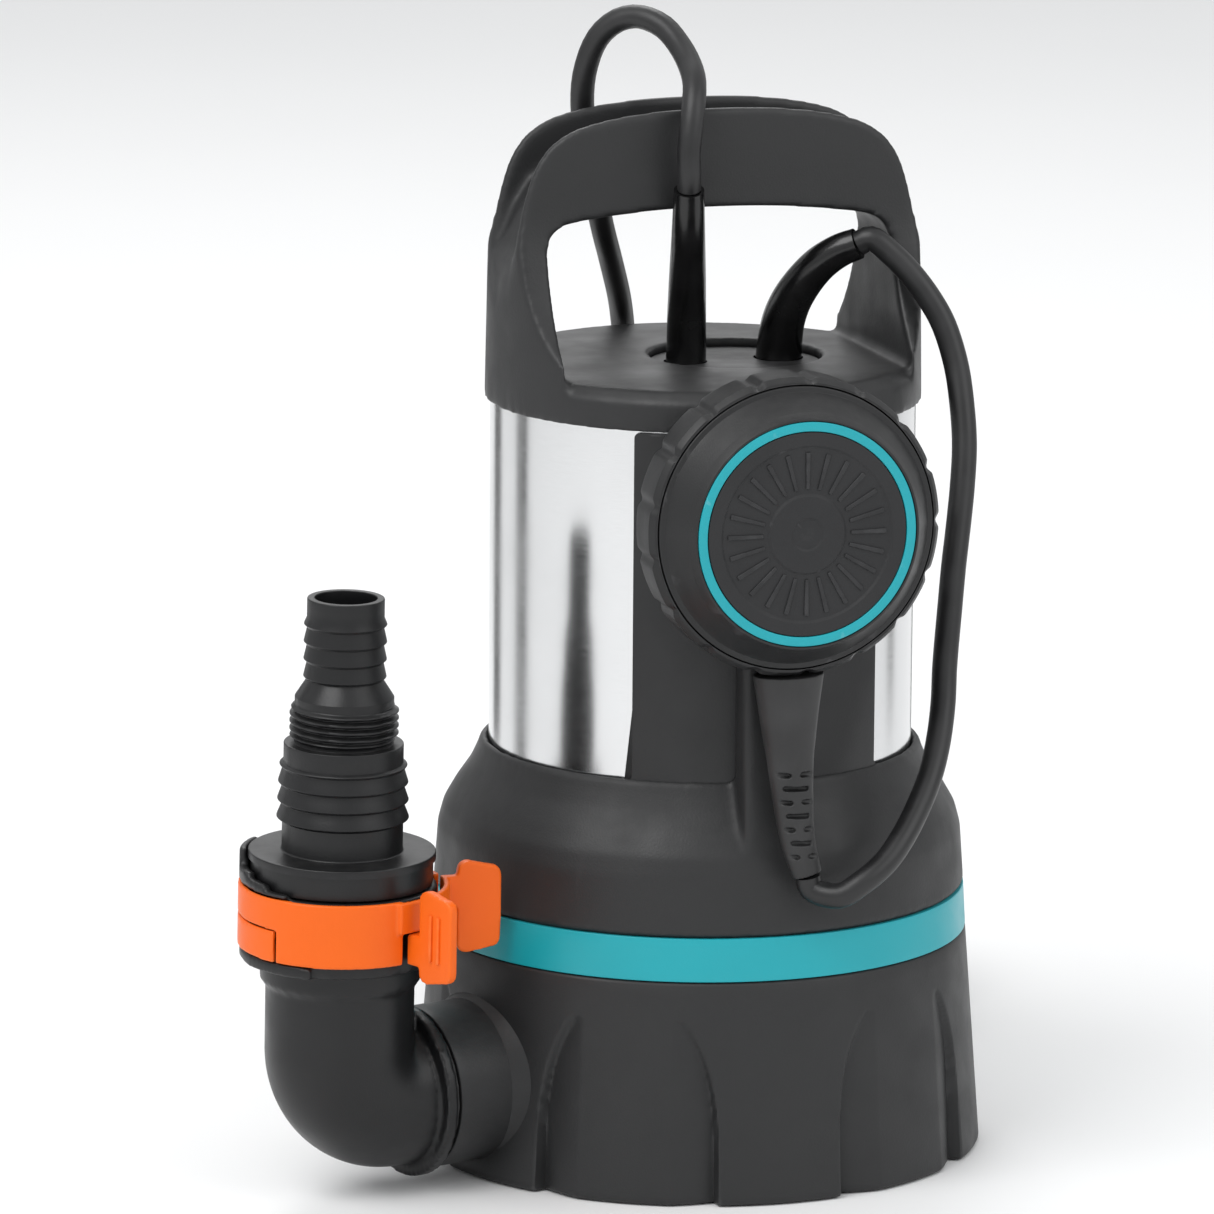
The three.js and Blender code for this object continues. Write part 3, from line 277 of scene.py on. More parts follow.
def round_edges(obj, width, segments=2, angle=40):
    """Bevels the edges that are sharper than an angle in degrees."""
    bevel = obj.modifiers.new("edges", "BEVEL")
    bevel.width = width * MM
    bevel.segments = segments
    bevel.limit_method = "ANGLE"
    bevel.angle_limit = radians(angle)
    bevel.harden_normals = False
    evaluated(obj)
    tidy(obj, merge=False, recalculate=False)
    return obj


def join(name, objects):
    """Several closed shells as one object."""
    bm = bmesh.new()
    for obj in objects:
        bm.from_mesh(obj.data)
    mesh = bpy.data.meshes.new(name)
    bm.to_mesh(mesh)
    bm.free()
    for obj in objects:
        bpy.data.objects.remove(obj)
    out = bpy.data.objects.new(name, mesh)
    bpy.context.scene.collection.objects.link(out)
    tidy(out, merge=False, recalculate=False)
    return out


def place(obj, matrix):
    """Moves the mesh itself. The matrix is in millimetres."""
    scale = Matrix.Scale(MM, 4)
    obj.data.transform(scale @ matrix @ scale.inverted())
    obj.data.update()
    return obj


def smooth_curve(points, spacing):
    """A centripetal Catmull-Rom curve through the points, sampled about every spacing."""
    pts = [Vector(p) for p in points]
    pts = [2 * pts[0] - pts[1], *pts, 2 * pts[-1] - pts[-2]]
    out = []
    for i in range(1, len(pts) - 2):
        p0, p1, p2, p3 = pts[i - 1:i + 3]
        t0 = 0.0
        t1 = t0 + max((p1 - p0).length, 1e-4) ** 0.5
        t2 = t1 + max((p2 - p1).length, 1e-4) ** 0.5
        t3 = t2 + max((p3 - p2).length, 1e-4) ** 0.5
        count = max(1, ceil((p2 - p1).length / spacing))
        for k in range(count):
            t = t1 + (t2 - t1) * k / count
            a1 = (t1 - t) / (t1 - t0) * p0 + (t - t0) / (t1 - t0) * p1
            a2 = (t2 - t) / (t2 - t1) * p1 + (t - t1) / (t2 - t1) * p2
            a3 = (t3 - t) / (t3 - t2) * p2 + (t - t2) / (t3 - t2) * p3
            b1 = (t2 - t) / (t2 - t0) * a1 + (t - t0) / (t2 - t0) * a2
            b2 = (t3 - t) / (t3 - t1) * a2 + (t - t1) / (t3 - t1) * a3
            out.append((t2 - t) / (t2 - t1) * b1 + (t - t1) / (t2 - t1) * b2)
    out.append(pts[-2])
    return out


def sweep(name, path, radius, sides=20, flat=1.0, across=None):
    """A closed tube along a path. radius is a number or a function of the share of the length."""
    lengths = [0.0]
    for a, b in zip(path, path[1:]):
        lengths.append(lengths[-1] + (b - a).length)
    total = lengths[-1]
    size = radius if callable(radius) else (lambda t: radius)
    side = Vector(across) if across else None
    normal = None
    vertices = []
    for i, p in enumerate(path):
        way = (path[min(i + 1, len(path) - 1)] - path[max(i - 1, 0)]).normalized()
        if side:
            normal = side.cross(way).normalized()
        elif normal is None:
            normal = way.orthogonal().normalized()
        else:
            normal = (normal - way * normal.dot(way)).normalized()
        other = way.cross(normal)
        r = size(lengths[i] / total)
        for k in range(sides):
            a = 2 * pi * k / sides
            vertices.append(tuple(p + r * (cos(a) * normal + flat * sin(a) * other)))
    faces = grid_faces(sides, len(path), close_columns=False)
    faces += [tuple(range(sides)), tuple((len(path) - 1) * sides + k for k in range(sides))]
    return make_object(name, vertices, faces, smooth_below=50)


# ---------------------------------------------------------------- shader groups
def new_group(name, inputs, outputs):
    tree = bpy.data.node_groups.new(name, "ShaderNodeTree")
    for label, kind, value in inputs:
        socket = tree.interface.new_socket(label, in_out="INPUT", socket_type=kind)
        socket.default_value = value
    for label, kind in outputs:
        tree.interface.new_socket(label, in_out="OUTPUT", socket_type=kind)
    return tree, tree.nodes.new("NodeGroupInput"), tree.nodes.new("NodeGroupOutput")


def node(tree, kind, inputs=None, **settings):
    """A node with its settings, and its inputs linked to sockets or set to values."""
    made = tree.nodes.new(kind)
    for key, value in settings.items():
        setattr(made, key, value)
    for key, value in (inputs or {}).items():
        if isinstance(value, bpy.types.NodeSocket):
            tree.links.new(value, made.inputs[key])
        else:
            made.inputs[key].default_value = value
    return made


def maths(tree, operation, a, b=0.5, clamp=False):
    """The result of one operation on numbers or sockets, as a socket."""
    return node(tree, "ShaderNodeMath", {0: a, 1: b}, operation=operation, use_clamp=clamp).outputs[0]


def ramp(tree, value, low, high):
    """Stretches low to high over 0 to 1, and clamps."""
    return node(tree, "ShaderNodeMapRange", {"Value": value, "From Min": low, "From Max": high}).outputs[0]


FLOAT = "NodeSocketFloat"
WEAR_FROM = 0.535       # pointiness; a flat face has 0.5


def grain_group():
    """Spark-eroded mould grain: a height for the bump, and patches where the plastic is glossier."""
    tree, start, end = new_group("mould_grain", [("Scale", FLOAT, 1400.0), ("Coarse", FLOAT, 60.0)],
                                 [("Height", FLOAT), ("Patches", FLOAT)])
    at = node(tree, "ShaderNodeTexCoord").outputs["Object"]
    fine = node(tree, "ShaderNodeTexNoise", {"Vector": at, "Scale": start.outputs["Scale"], "Detail": 3.0,
                                             "Roughness": 0.6})
    cells = node(tree, "ShaderNodeTexVoronoi", {"Vector": at, "Scale": start.outputs["Scale"]},
                 feature="SMOOTH_F1")
    patches = node(tree, "ShaderNodeTexNoise", {"Vector": at, "Scale": start.outputs["Coarse"],
                                                "Detail": 4.0})
    height = maths(tree, "MULTIPLY_ADD", cells.outputs["Distance"], 0.5)
    tree.links.new(fine.outputs["Fac"], height.node.inputs[2])
    tree.links.new(height, end.inputs["Height"])
    tree.links.new(ramp(tree, patches.outputs["Fac"], 0.3, 0.7), end.inputs["Patches"])
    return tree


def wear_group():
    """Where edges have been rubbed: the convex edges, broken up."""
    tree, start, end = new_group("edge_wear", [("Sharpness", FLOAT, 0.03)], [("Mask", FLOAT)])
    pointy = node(tree, "ShaderNodeNewGeometry").outputs["Pointiness"]
    at = node(tree, "ShaderNodeTexCoord").outputs["Object"]
    broken = node(tree, "ShaderNodeTexNoise", {"Vector": at, "Scale": 220.0, "Detail": 5.0}).outputs["Fac"]
    lift = maths(tree, "SUBTRACT", pointy, WEAR_FROM)
    share = maths(tree, "DIVIDE", lift, start.outputs["Sharpness"], clamp=True)
    tree.links.new(maths(tree, "MULTIPLY", share, ramp(tree, broken, 0.35, 0.65)), end.inputs["Mask"])
    return tree


def scuff_group():
    """Fine handling scratches that run mostly one way."""
    tree, start, end = new_group("scuffs", [("Scale", FLOAT, 90.0), ("Amount", FLOAT, 0.5)],
                                 [("Mask", FLOAT)])
    at = node(tree, "ShaderNodeTexCoord").outputs["Object"]
    turned_at = node(tree, "ShaderNodeMapping", {"Vector": at, "Rotation": (0.3, 0.9, 0.5),
                                                 "Scale": (1.0, 1.0, 0.06)}).outputs["Vector"]
    lines = node(tree, "ShaderNodeTexNoise", {"Vector": turned_at, "Scale": start.outputs["Scale"],
                                              "Detail": 6.0, "Roughness": 0.7}).outputs["Fac"]
    zones = node(tree, "ShaderNodeTexNoise", {"Vector": at, "Scale": 25.0}).outputs["Fac"]
    mask = maths(tree, "MULTIPLY", ramp(tree, lines, 0.62, 0.7), ramp(tree, zones, 0.45, 0.65))
    tree.links.new(maths(tree, "MULTIPLY", mask, start.outputs["Amount"]), end.inputs["Mask"])
    return tree


def dust_group():
    """Light dust on what faces up."""
    tree, start, end = new_group("dust", [("Amount", FLOAT, 0.1)], [("Mask", FLOAT)])
    normal = node(tree, "ShaderNodeNewGeometry").outputs["Normal"]
    up = node(tree, "ShaderNodeSeparateXYZ", {0: normal}).outputs["Z"]
    at = node(tree, "ShaderNodeTexCoord").outputs["Object"]
    specks = node(tree, "ShaderNodeTexNoise", {"Vector": at, "Scale": 300.0, "Detail": 6.0}).outputs["Fac"]
    fall = maths(tree, "MULTIPLY", ramp(tree, up, 0.3, 1.0), ramp(tree, specks, 0.35, 0.8))
    tree.links.new(maths(tree, "MULTIPLY", fall, start.outputs["Amount"]), end.inputs["Mask"])
    return tree


GRAIN = grain_group()
WEAR = wear_group()
SCUFF = scuff_group()
DUST = dust_group()


def use(tree, group, **values):
    """Places a shader group with its own values, and gives its outputs."""
    made = tree.nodes.new("ShaderNodeGroup")
    made.node_tree = group
    for key, value in values.items():
        made.inputs[key].default_value = value
    return made.outputs


def start_material(name, colour, **sockets):
    """A new material with plain numbers on its shader's sockets. Its base colour is set by the caller."""
    material = bpy.data.materials.new(name)
    material.use_nodes = True
    material.diffuse_color = (*colour, 1.0)
    tree = material.node_tree
    shader = tree.nodes["Principled BSDF"]
    for key, value in sockets.items():
        shader.inputs[key.replace("_", " ").title().replace("Ior", "IOR")].default_value = value
    return material, tree, shader


def mix_colour(tree, share, a, b):
    """From colour a at share 0 to colour b at share 1."""
    made = node(tree, "ShaderNodeMix", data_type="RGBA")
    for index, value in ((6, a), (7, b)):
        if isinstance(value, bpy.types.NodeSocket):
            tree.links.new(value, made.inputs[index])
        else:
            made.inputs[index].default_value = (*value, 1.0)
    tree.links.new(share, made.inputs[0])
    return made.outputs[2]


def plastic(name, colour, worn, roughness=0.45, grain=1400.0, depth=0.25, dust=0.035, scuffs=0.2, wear=0.4,
            specular=0.4):
    """Moulded plastic: grain, patchy gloss, rubbed edges, faint scratches and dust."""
    material, tree, shader = start_material(name, colour, specular_ior_level=specular, coat_weight=0.0,
                                            coat_roughness=0.25)
    spread = 0.08
    grains = use(tree, GRAIN, Scale=grain)
    rubbed = maths(tree, "MULTIPLY", use(tree, WEAR)["Mask"], wear)
    marks = use(tree, SCUFF, Amount=scuffs)["Mask"]
    settled = use(tree, DUST, Amount=dust)["Mask"]
    at = node(tree, "ShaderNodeTexCoord").outputs["Object"]
    cloud = node(tree, "ShaderNodeTexNoise", {"Vector": at, "Scale": 18.0, "Detail": 3.0}).outputs["Fac"]
    darker = tuple(c * 0.94 for c in colour)
    base = mix_colour(tree, ramp(tree, cloud, 0.35, 0.7), darker, colour)
    base = mix_colour(tree, maths(tree, "MAXIMUM", rubbed, maths(tree, "MULTIPLY", marks, 0.35)), base, worn)
    base = mix_colour(tree, settled, base, (0.30, 0.29, 0.27))
    tree.links.new(base, shader.inputs["Base Color"])
    rough = node(tree, "ShaderNodeMapRange", {"Value": grains["Patches"], "To Min": roughness - spread,
                                              "To Max": roughness + spread}).outputs[0]
    duller = maths(tree, "MULTIPLY", maths(tree, "ADD", marks, settled), 0.25)
    rough = maths(tree, "ADD", rough, duller, clamp=True)
    tree.links.new(rough, shader.inputs["Roughness"])
    bump = node(tree, "ShaderNodeBump", {"Height": grains["Height"], "Strength": depth, "Distance": 0.0002})
    tree.links.new(bump.outputs[0], shader.inputs["Normal"])
    return material


def rubber(name, colour, roughness=0.42, spread=0.07):
    """Cable rubber: soft gloss with faint bloom and a fine grain."""
    material, tree, shader = start_material(name, colour, specular_ior_level=0.5)
    at = node(tree, "ShaderNodeTexCoord").outputs["Object"]
    bloom = node(tree, "ShaderNodeTexNoise", {"Vector": at, "Scale": 70.0, "Detail": 6.0}).outputs["Fac"]
    lighter = tuple(min(1.0, c * 1.7 + 0.004) for c in colour)
    base = mix_colour(tree, ramp(tree, bloom, 0.42, 0.75), colour, lighter)
    tree.links.new(base, shader.inputs["Base Color"])
    rough = node(tree, "ShaderNodeMapRange", {"Value": bloom, "From Min": 0.3, "From Max": 0.7,
                                              "To Min": roughness - spread, "To Max": roughness + spread})
    tree.links.new(rough.outputs[0], shader.inputs["Roughness"])
    grains = use(tree, GRAIN, Scale=900.0)
    bump = node(tree, "ShaderNodeBump", {"Height": grains["Height"], "Strength": 0.12, "Distance": 0.0002})
    tree.links.new(bump.outputs[0], shader.inputs["Normal"])
    return material


def bare_metal(name, colour, roughness=0.2, lines=(1.0, 1.0, 1.0), scale=1500.0, spread=0.05, depth=0.03):
    """Bare metal with fine brushing along one axis and faint finger smears."""
    material, tree, shader = start_material(name, colour, metallic=1.0)
    at = node(tree, "ShaderNodeTexCoord").outputs["Object"]
    stretched = node(tree, "ShaderNodeMapping", {"Vector": at, "Scale": lines}).outputs["Vector"]
    brushed = node(tree, "ShaderNodeTexNoise", {"Vector": stretched, "Scale": scale,
                                                "Detail": 4.0}).outputs["Fac"]
    smears = node(tree, "ShaderNodeTexNoise", {"Vector": at, "Scale": 22.0, "Detail": 5.0}).outputs["Fac"]
    marks = use(tree, SCUFF, Amount=0.3, Scale=60.0)["Mask"]
    fine = node(tree, "ShaderNodeMapRange", {"Value": brushed, "From Min": 0.3, "From Max": 0.7,
                                             "To Min": roughness - spread, "To Max": roughness + spread})
    smeared = maths(tree, "MULTIPLY", ramp(tree, smears, 0.45, 0.75), 0.06)
    rough = maths(tree, "ADD", fine.outputs[0], smeared)
    rough = maths(tree, "ADD", rough, maths(tree, "MULTIPLY", marks, 0.15), clamp=True)
    tree.links.new(rough, shader.inputs["Roughness"])
    darker = tuple(c * 0.93 for c in colour)
    base = mix_colour(tree, ramp(tree, brushed, 0.3, 0.7), darker, colour)
    tree.links.new(base, shader.inputs["Base Color"])
    bump = node(tree, "ShaderNodeBump", {"Height": brushed, "Strength": depth, "Distance": 0.0001})
    tree.links.new(bump.outputs[0], shader.inputs["Normal"])
    return material


CHARCOAL = plastic("charcoal_casing_plastic", (0.0185, 0.0188, 0.0195), (0.085, 0.085, 0.088), roughness=0.5)
COVER_GREY = plastic("cap_plastic", (0.0195, 0.0198, 0.0205), (0.085, 0.085, 0.088), roughness=0.46)
BLACK = plastic("fitting_plastic", (0.0065, 0.0066, 0.0072), (0.05, 0.05, 0.053), roughness=0.38,
                grain=1800.0, depth=0.15)
FLOAT_BLACK = plastic("float_plastic", (0.0130, 0.0132, 0.0138), (0.07, 0.07, 0.073), roughness=0.42,
                      grain=1700.0, depth=0.18)
FACE_GREY = plastic("float_face_plastic", (0.0150, 0.0153, 0.0165), (0.06, 0.06, 0.063), roughness=0.55,
                    grain=1200.0, depth=0.3)
TURQUOISE = plastic("turquoise_band_plastic", (0.010, 0.345, 0.40), (0.35, 0.62, 0.65), roughness=0.36,
                    grain=1600.0, depth=0.12, dust=0.01, scuffs=0.08, wear=0.2)
ORANGE = plastic("orange_clamp_plastic", (0.84, 0.128, 0.004), (0.9, 0.33, 0.12), roughness=0.42,
                 grain=1500.0, depth=0.16, dust=0.0, scuffs=0.1, wear=0.3, specular=0.3)
NATURAL = plastic("natural_plastic", (0.62, 0.58, 0.48), (0.75, 0.72, 0.65), roughness=0.5, dust=0.0)
CORD_RUBBER = rubber("cord_rubber", (0.0085, 0.0085, 0.009), roughness=0.42)
RELIEF_RUBBER = rubber("relief_rubber", (0.004, 0.004, 0.0042), roughness=0.24, spread=0.04)
BOOT_RUBBER = rubber("boot_rubber", (0.0145, 0.0145, 0.015), roughness=0.5)
SEAL_RUBBER = rubber("seal_rubber", (0.010, 0.010, 0.010), roughness=0.55)
STEEL = bare_metal("polished_steel", (0.72, 0.725, 0.73), roughness=0.17, lines=(0.15, 0.15, 3.0),
                   spread=0.03, depth=0.012)
TURNED_STEEL = bare_metal("turned_steel", (0.56, 0.57, 0.58), roughness=0.3, lines=(0.4, 0.4, 3.0))
IRON = bare_metal("machined_iron", (0.30, 0.31, 0.32), roughness=0.45, scale=500.0)
COPPER = bare_metal("winding_copper", (0.60, 0.26, 0.12), roughness=0.35, lines=(0.2, 0.2, 4.0), scale=900.0)
BRASS = bare_metal("bright_brass", (0.66, 0.50, 0.22), roughness=0.24)

SLOT_MATERIALS = {
    "dark_plastic": CHARCOAL, "black_plastic": BLACK, "cord_rubber": CORD_RUBBER, "seal_rubber": SEAL_RUBBER,
    "turquoise_plastic": TURQUOISE, "orange_plastic": ORANGE, "steel": TURNED_STEEL, "iron": IRON,
    "copper": COPPER, "brass": BRASS, "light_plastic": NATURAL,
}


def finish_piece(obj, body, material, slot, *nodes):
    """Gives a piece its material and its moving body, and hides the plain solids it stands for. The slot
    argument is not used.
    """
    obj.data.materials.clear()
    obj.data.materials.append(material)
    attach(obj, body)
    if nodes:
        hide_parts(*nodes)
    return obj


# ---------------------------------------------------------------- camera
CAMERA = Vector((-760.6, -2427.1, 689.1)) * MM
CAMERA_AZIMUTH = -17.4
CAMERA_ELEVATION = 11.97
CAMERA_ROLL = 0.54
FIELD_OF_VIEW = 8.3715
SHIFT = (-0.0769, 0.0500)


def add_camera():
    a, e, roll = radians(CAMERA_AZIMUTH), radians(CAMERA_ELEVATION), radians(CAMERA_ROLL)
    back = Vector((sin(a) * cos(e), -cos(a) * cos(e), sin(e)))
    right = Vector((cos(a), sin(a), 0.0))
    up = back.cross(right)
    turn = Matrix((right * cos(roll) + up * sin(roll), up * cos(roll) - right * sin(roll), back)).transposed()
    data = bpy.data.cameras.new("camera")
    data.angle = radians(FIELD_OF_VIEW)
    data.shift_x, data.shift_y = SHIFT
    data.clip_start, data.clip_end = 0.1, 20.0
    camera = bpy.data.objects.new("camera", data)
    bpy.context.scene.collection.objects.link(camera)
    camera.matrix_world = Matrix.Translation(CAMERA) @ turn.to_4x4()
    bpy.context.scene.camera = camera


add_camera()


# ---------------------------------------------------------------- cords
MAINS_RELIEF = [(-3.4, 7.7, 243), (-3.4, 6.9, 250), (-4.2, 4.4, 259), (-7.4, -6.5, 276),
                (-10.9, -18.2, 291), (-12.4, -23.4, 305)]
FLOAT_RELIEF = [(27, 7.7, 243), (27, 6.7, 250), (26.7, 1, 260), (28.2, -7.5, 270), (33, -14.3, 278.9),
                (38.2, -18.5, 283.6), (43, -21.4, 286)]
MAINS_ROUTE = [
    (-13, -24.8, 317.4), (-11.9, -24, 325), (-10.6, -21.7, 331.6), (-8.9, -16.8, 336.9), (-8.1, -9, 341.7),
    (-9.1, -1, 346.8), (-11.8, 6, 351.4), (-15.5, 11, 353.5), (-18.8, 15, 353.8), (-22.9, 18.5, 352.3),
    (-26.8, 21.5, 348.6), (-29.3, 23.4, 344), (-31, 25, 337.9), (-31.7, 26.6, 331.5), (-31, 29, 322),
    (-28, 33, 309), (-20.7, 42, 285), (-14.2, 53, 271), (-7.5, 65.5, 256.5), (-3, 75.5, 243), (0.5, 82, 227),
    (4, 86, 203), (8, 91, 160), (9.5, 95, 125), (12, 99.5, 92), (14, 103, 68), (13.6, 105.8, 53),
    (9, 109.5, 45), (1.2, 113.6, 41.8), (-4.2, 117.9, 39.6),
]
FLOAT_ROUTE = [
    (52.6, -26.2, 283), (58.2, -29.4, 276.7), (63.4, -32.4, 269), (66.9, -34.8, 261.8), (69.8, -38.6, 249.8),
    (70.4, -43, 238), (70, -47.1, 226.2), (68.3, -50.7, 214.3), (66, -54.2, 202.5), (63.5, -57.6, 190.7),
    (61.6, -60.2, 178.8), (58.7, -64.5, 160.9), (57, -68.2, 149.2), (53.7, -73.4, 137.9), (49, -79.3, 128.4),
    (43.1, -84.8, 119.9), (36.3, -90, 112), (30.1, -93.3, 106.2), (22.5, -95.1, 101.2), (15.5, -94, 97.2),
]
BOOT_LINE = [(0.4, -88, 166.15), (0.8, -88, 150), (1.8, -88.3, 132), (3.9, -88.7, 114), (6.8, -89.1, 103.3)]


def leaving(points, first=0.5, second=4.5):
    """The first points of a cord that leaves the end of a curve, in line with it."""
    line = smooth_curve(points, 0.5)
    end = line[-1]
    way = (line[-1] - line[-2]).normalized()
    return [tuple(end + way * d) for d in (first, second)]


def coil_turns():
    """The put-away length: flat spirals, inwards and outwards by turns, from the top layer down."""
    points = []
    outer, inner = COIL_RADII
    angle = radians(COIL_START)
    for layer in range(COIL_LAYERS):
        z = COIL_BOTTOM + MAINS_D * (COIL_LAYERS - layer - 0.5)
        first, last = (outer, inner) if layer % 2 == 0 else (inner, outer)
        for i in range(COIL_STEPS * COIL_TURNS + 1):
            radius = first + (last - first) * i / (COIL_STEPS * COIL_TURNS)
            lift = 2.2 if layer == 0 and i == 0 else 0.0
            points.append((radius, angle, z + lift))
            angle -= 2 * pi / COIL_STEPS
        if layer < COIL_LAYERS - 1:
            # at the end of a layer the cord steps down to the next one
            for share in (0.1, 0.3, 0.5, 0.7, 0.9):
                points.append((last, angle, z - MAINS_D * share))
                angle -= 2 * pi / COIL_STEPS
    x, y = COIL_CENTRE
    return [(x + r * cos(a), y + r * sin(a), z) for r, a, z in points]


def coil_tail():
    """From the inside of the coil the cord climbs through the middle and over into the plug."""
    x, y = COIL_CENTRE
    line = [(34, -150, 7), (31.5, 175, 14), (30.5, 140, 23), (30.5, 105, 32), (30.5, 70, 41), (30, 35, 48)]
    points = [(x + r * cos(radians(a)), y + r * sin(radians(a)), z) for r, a, z in line]
    return points + [(x + 27.2, y - 4, 52), (x + 24.6, y - 17, 52.7), (x + 23.2, y - 25, 52.7)]


def mains_path():
    route = leaving(MAINS_RELIEF) + MAINS_ROUTE + coil_turns() + coil_tail()
    return smooth_curve(route, 4.0)


def add_cords():
    path = mains_path()
    mains = sweep("mains_lead", path, MAINS_D / 2, sides=14)
    floating = smooth_curve(leaving(FLOAT_RELIEF) + FLOAT_ROUTE + leaving(BOOT_LINE)[::-1], 2.0)
    lead = sweep("float_lead", floating, FLOAT_D / 2, sides=24)
    return mains, path, lead, floating


mains_lead, mains_points, float_lead, float_points = add_cords()

# ---------------------------------------------------------------- frames of the moving parts
OUTLET = Matrix.Translation((0, 0, OUTLET_Z)) @ Matrix.Rotation(radians(OUTLET_AZIMUTH - 90), 4, "Z")
ELBOW = OUTLET @ Matrix.Rotation(radians(-ELBOW_LEAN), 4, "X")
FROM_ELBOW = ELBOW.inverted()
LEG_FRAME = ELBOW @ Matrix.Translation((LEG, 0, -OUTLET_Z))
FLOAT_FRAME = Matrix.Translation(FLOAT_AT) @ Matrix.Rotation(radians(90), 4, "X")


def round_off(point):
    """Puts a point of the cap's many-sided turned wall onto its true circle."""
    if hypot(point.x, point.y) < STEEL_R - 0.2:
        return point
    half = pi / CAP_SIDES
    a = atan2(point.y, point.x) % (2 * half)
    k = cos(a - half) / cos(half)
    return Vector((point.x * k, point.y * k, point.z))


def round_pipe(point):
    """Puts a point of the elbow's many-sided walls onto the true pipe, flange and cup."""
    p = FROM_ELBOW @ point
    start = LEG - BEND_R
    if p.z >= BEND_R and p.x > start - 8:
        middle = Vector((LEG, 0, p.z))
    elif p.x <= start:
        middle = Vector((p.x, 0, 0))
    else:
        way = Vector((p.x - start, 0, p.z - BEND_R)).normalized()
        middle = Vector((start, 0, BEND_R)) + BEND_R * way
    out = p - middle
    if p.x > start and p.z < BEND_R and abs(out.length - ELBOW_R) < 1.3:
        return ELBOW @ (middle + out.normalized() * ELBOW_R)
    for radius in (ELBOW_R, *COLLAR_RADII):
        if abs(out.length - radius) < 0.4:
            return ELBOW @ (middle + out.normalized() * radius)
    return point


def from_frame(name, cad_node, voxel, passes, fit=None):
    """A moulded piece with softened edges, from its plain solid.

    fit moves each point, in millimetres, before the edges are rounded.
    """
    obj = bpy.data.objects.new(name, frame["nodes"][cad_node].data.copy())
    bpy.context.scene.collection.objects.link(obj)
    obj.data.materials.clear()
    tidy(obj, recalculate=False)
    remesh(obj, voxel)
    if fit:
        for v in obj.data.vertices:
            v.co = fit(v.co / MM) * MM
    return relax(obj, passes)


# ---------------------------------------------------------------- repeated details
def ring_of_copies():
    """A geometry tree: copies of the object's own mesh, evenly round its Z axis, at a height."""
    tree = bpy.data.node_groups.new("ring_of_copies", "GeometryNodeTree")
    tree.interface.new_socket("Geometry", in_out="INPUT", socket_type="NodeSocketGeometry")
    for label, kind, value in (("Count", "NodeSocketInt", 8), ("Radius", FLOAT, 0.02), ("Height", FLOAT, 0.0),
                               ("First Angle", FLOAT, 0.0)):
        tree.interface.new_socket(label, in_out="INPUT", socket_type=kind).default_value = value
    tree.interface.new_socket("Material", in_out="INPUT", socket_type="NodeSocketMaterial")
    tree.interface.new_socket("Geometry", in_out="OUTPUT", socket_type="NodeSocketGeometry")
    start, end = tree.nodes.new("NodeGroupInput"), tree.nodes.new("NodeGroupOutput")
    circle = tree.nodes.new("GeometryNodeMeshCircle")
    tree.links.new(start.outputs["Count"], circle.inputs["Vertices"])
    tree.links.new(start.outputs["Radius"], circle.inputs["Radius"])
    index = tree.nodes.new("GeometryNodeInputIndex").outputs[0]
    share = maths(tree, "DIVIDE", index, 1.0)
    tree.links.new(start.outputs["Count"], share.node.inputs[1])
    angle = maths(tree, "MULTIPLY", share, 2 * pi)
    turn = tree.nodes.new("ShaderNodeCombineXYZ")
    tree.links.new(angle, turn.inputs["Z"])
    copies = tree.nodes.new("GeometryNodeInstanceOnPoints")
    tree.links.new(circle.outputs["Mesh"], copies.inputs["Points"])
    tree.links.new(start.outputs["Geometry"], copies.inputs["Instance"])
    tree.links.new(turn.outputs[0], copies.inputs["Rotation"])
    real = tree.nodes.new("GeometryNodeRealizeInstances")
    tree.links.new(copies.outputs[0], real.inputs[0])
    whole = tree.nodes.new("ShaderNodeCombineXYZ")
    tree.links.new(start.outputs["First Angle"], whole.inputs["Z"])
    lift = tree.nodes.new("ShaderNodeCombineXYZ")
    tree.links.new(start.outputs["Height"], lift.inputs["Z"])
    moved = tree.nodes.new("GeometryNodeTransform")
    tree.links.new(real.outputs[0], moved.inputs["Geometry"])
    tree.links.new(lift.outputs[0], moved.inputs["Translation"])
    tree.links.new(whole.outputs[0], moved.inputs["Rotation"])
    paint = tree.nodes.new("GeometryNodeSetMaterial")
    tree.links.new(moved.outputs[0], paint.inputs["Geometry"])
    tree.links.new(start.outputs["Material"], paint.inputs["Material"])
    tree.links.new(paint.outputs[0], end.inputs[0])
    return tree


RING = ring_of_copies()


def repeat_round(obj, count, radius, height, first, material):
    """Sets the object's mesh round a circle, in millimetres and degrees, and keeps the result."""
    copies = obj.modifiers.new("ring", "NODES")
    copies.node_group = RING
    values = {"Count": count, "Radius": radius * MM, "Height": height * MM, "First Angle": radians(first),
              "Material": material}
    for item in RING.interface.items_tree:
        if item.in_out == "INPUT" and item.name in values:
            copies[item.identifier] = values[item.name]
    evaluated(obj)
    tidy(obj, merge=False, recalculate=False)
    return obj


# ---------------------------------------------------------------- casing
def angle_from_nearest(a, centres):
    """How far an azimuth in degrees is from the nearest of some others. Azimuth 0 is the front."""
    return min(abs((a - c + 180) % 360 - 180) for c in centres)


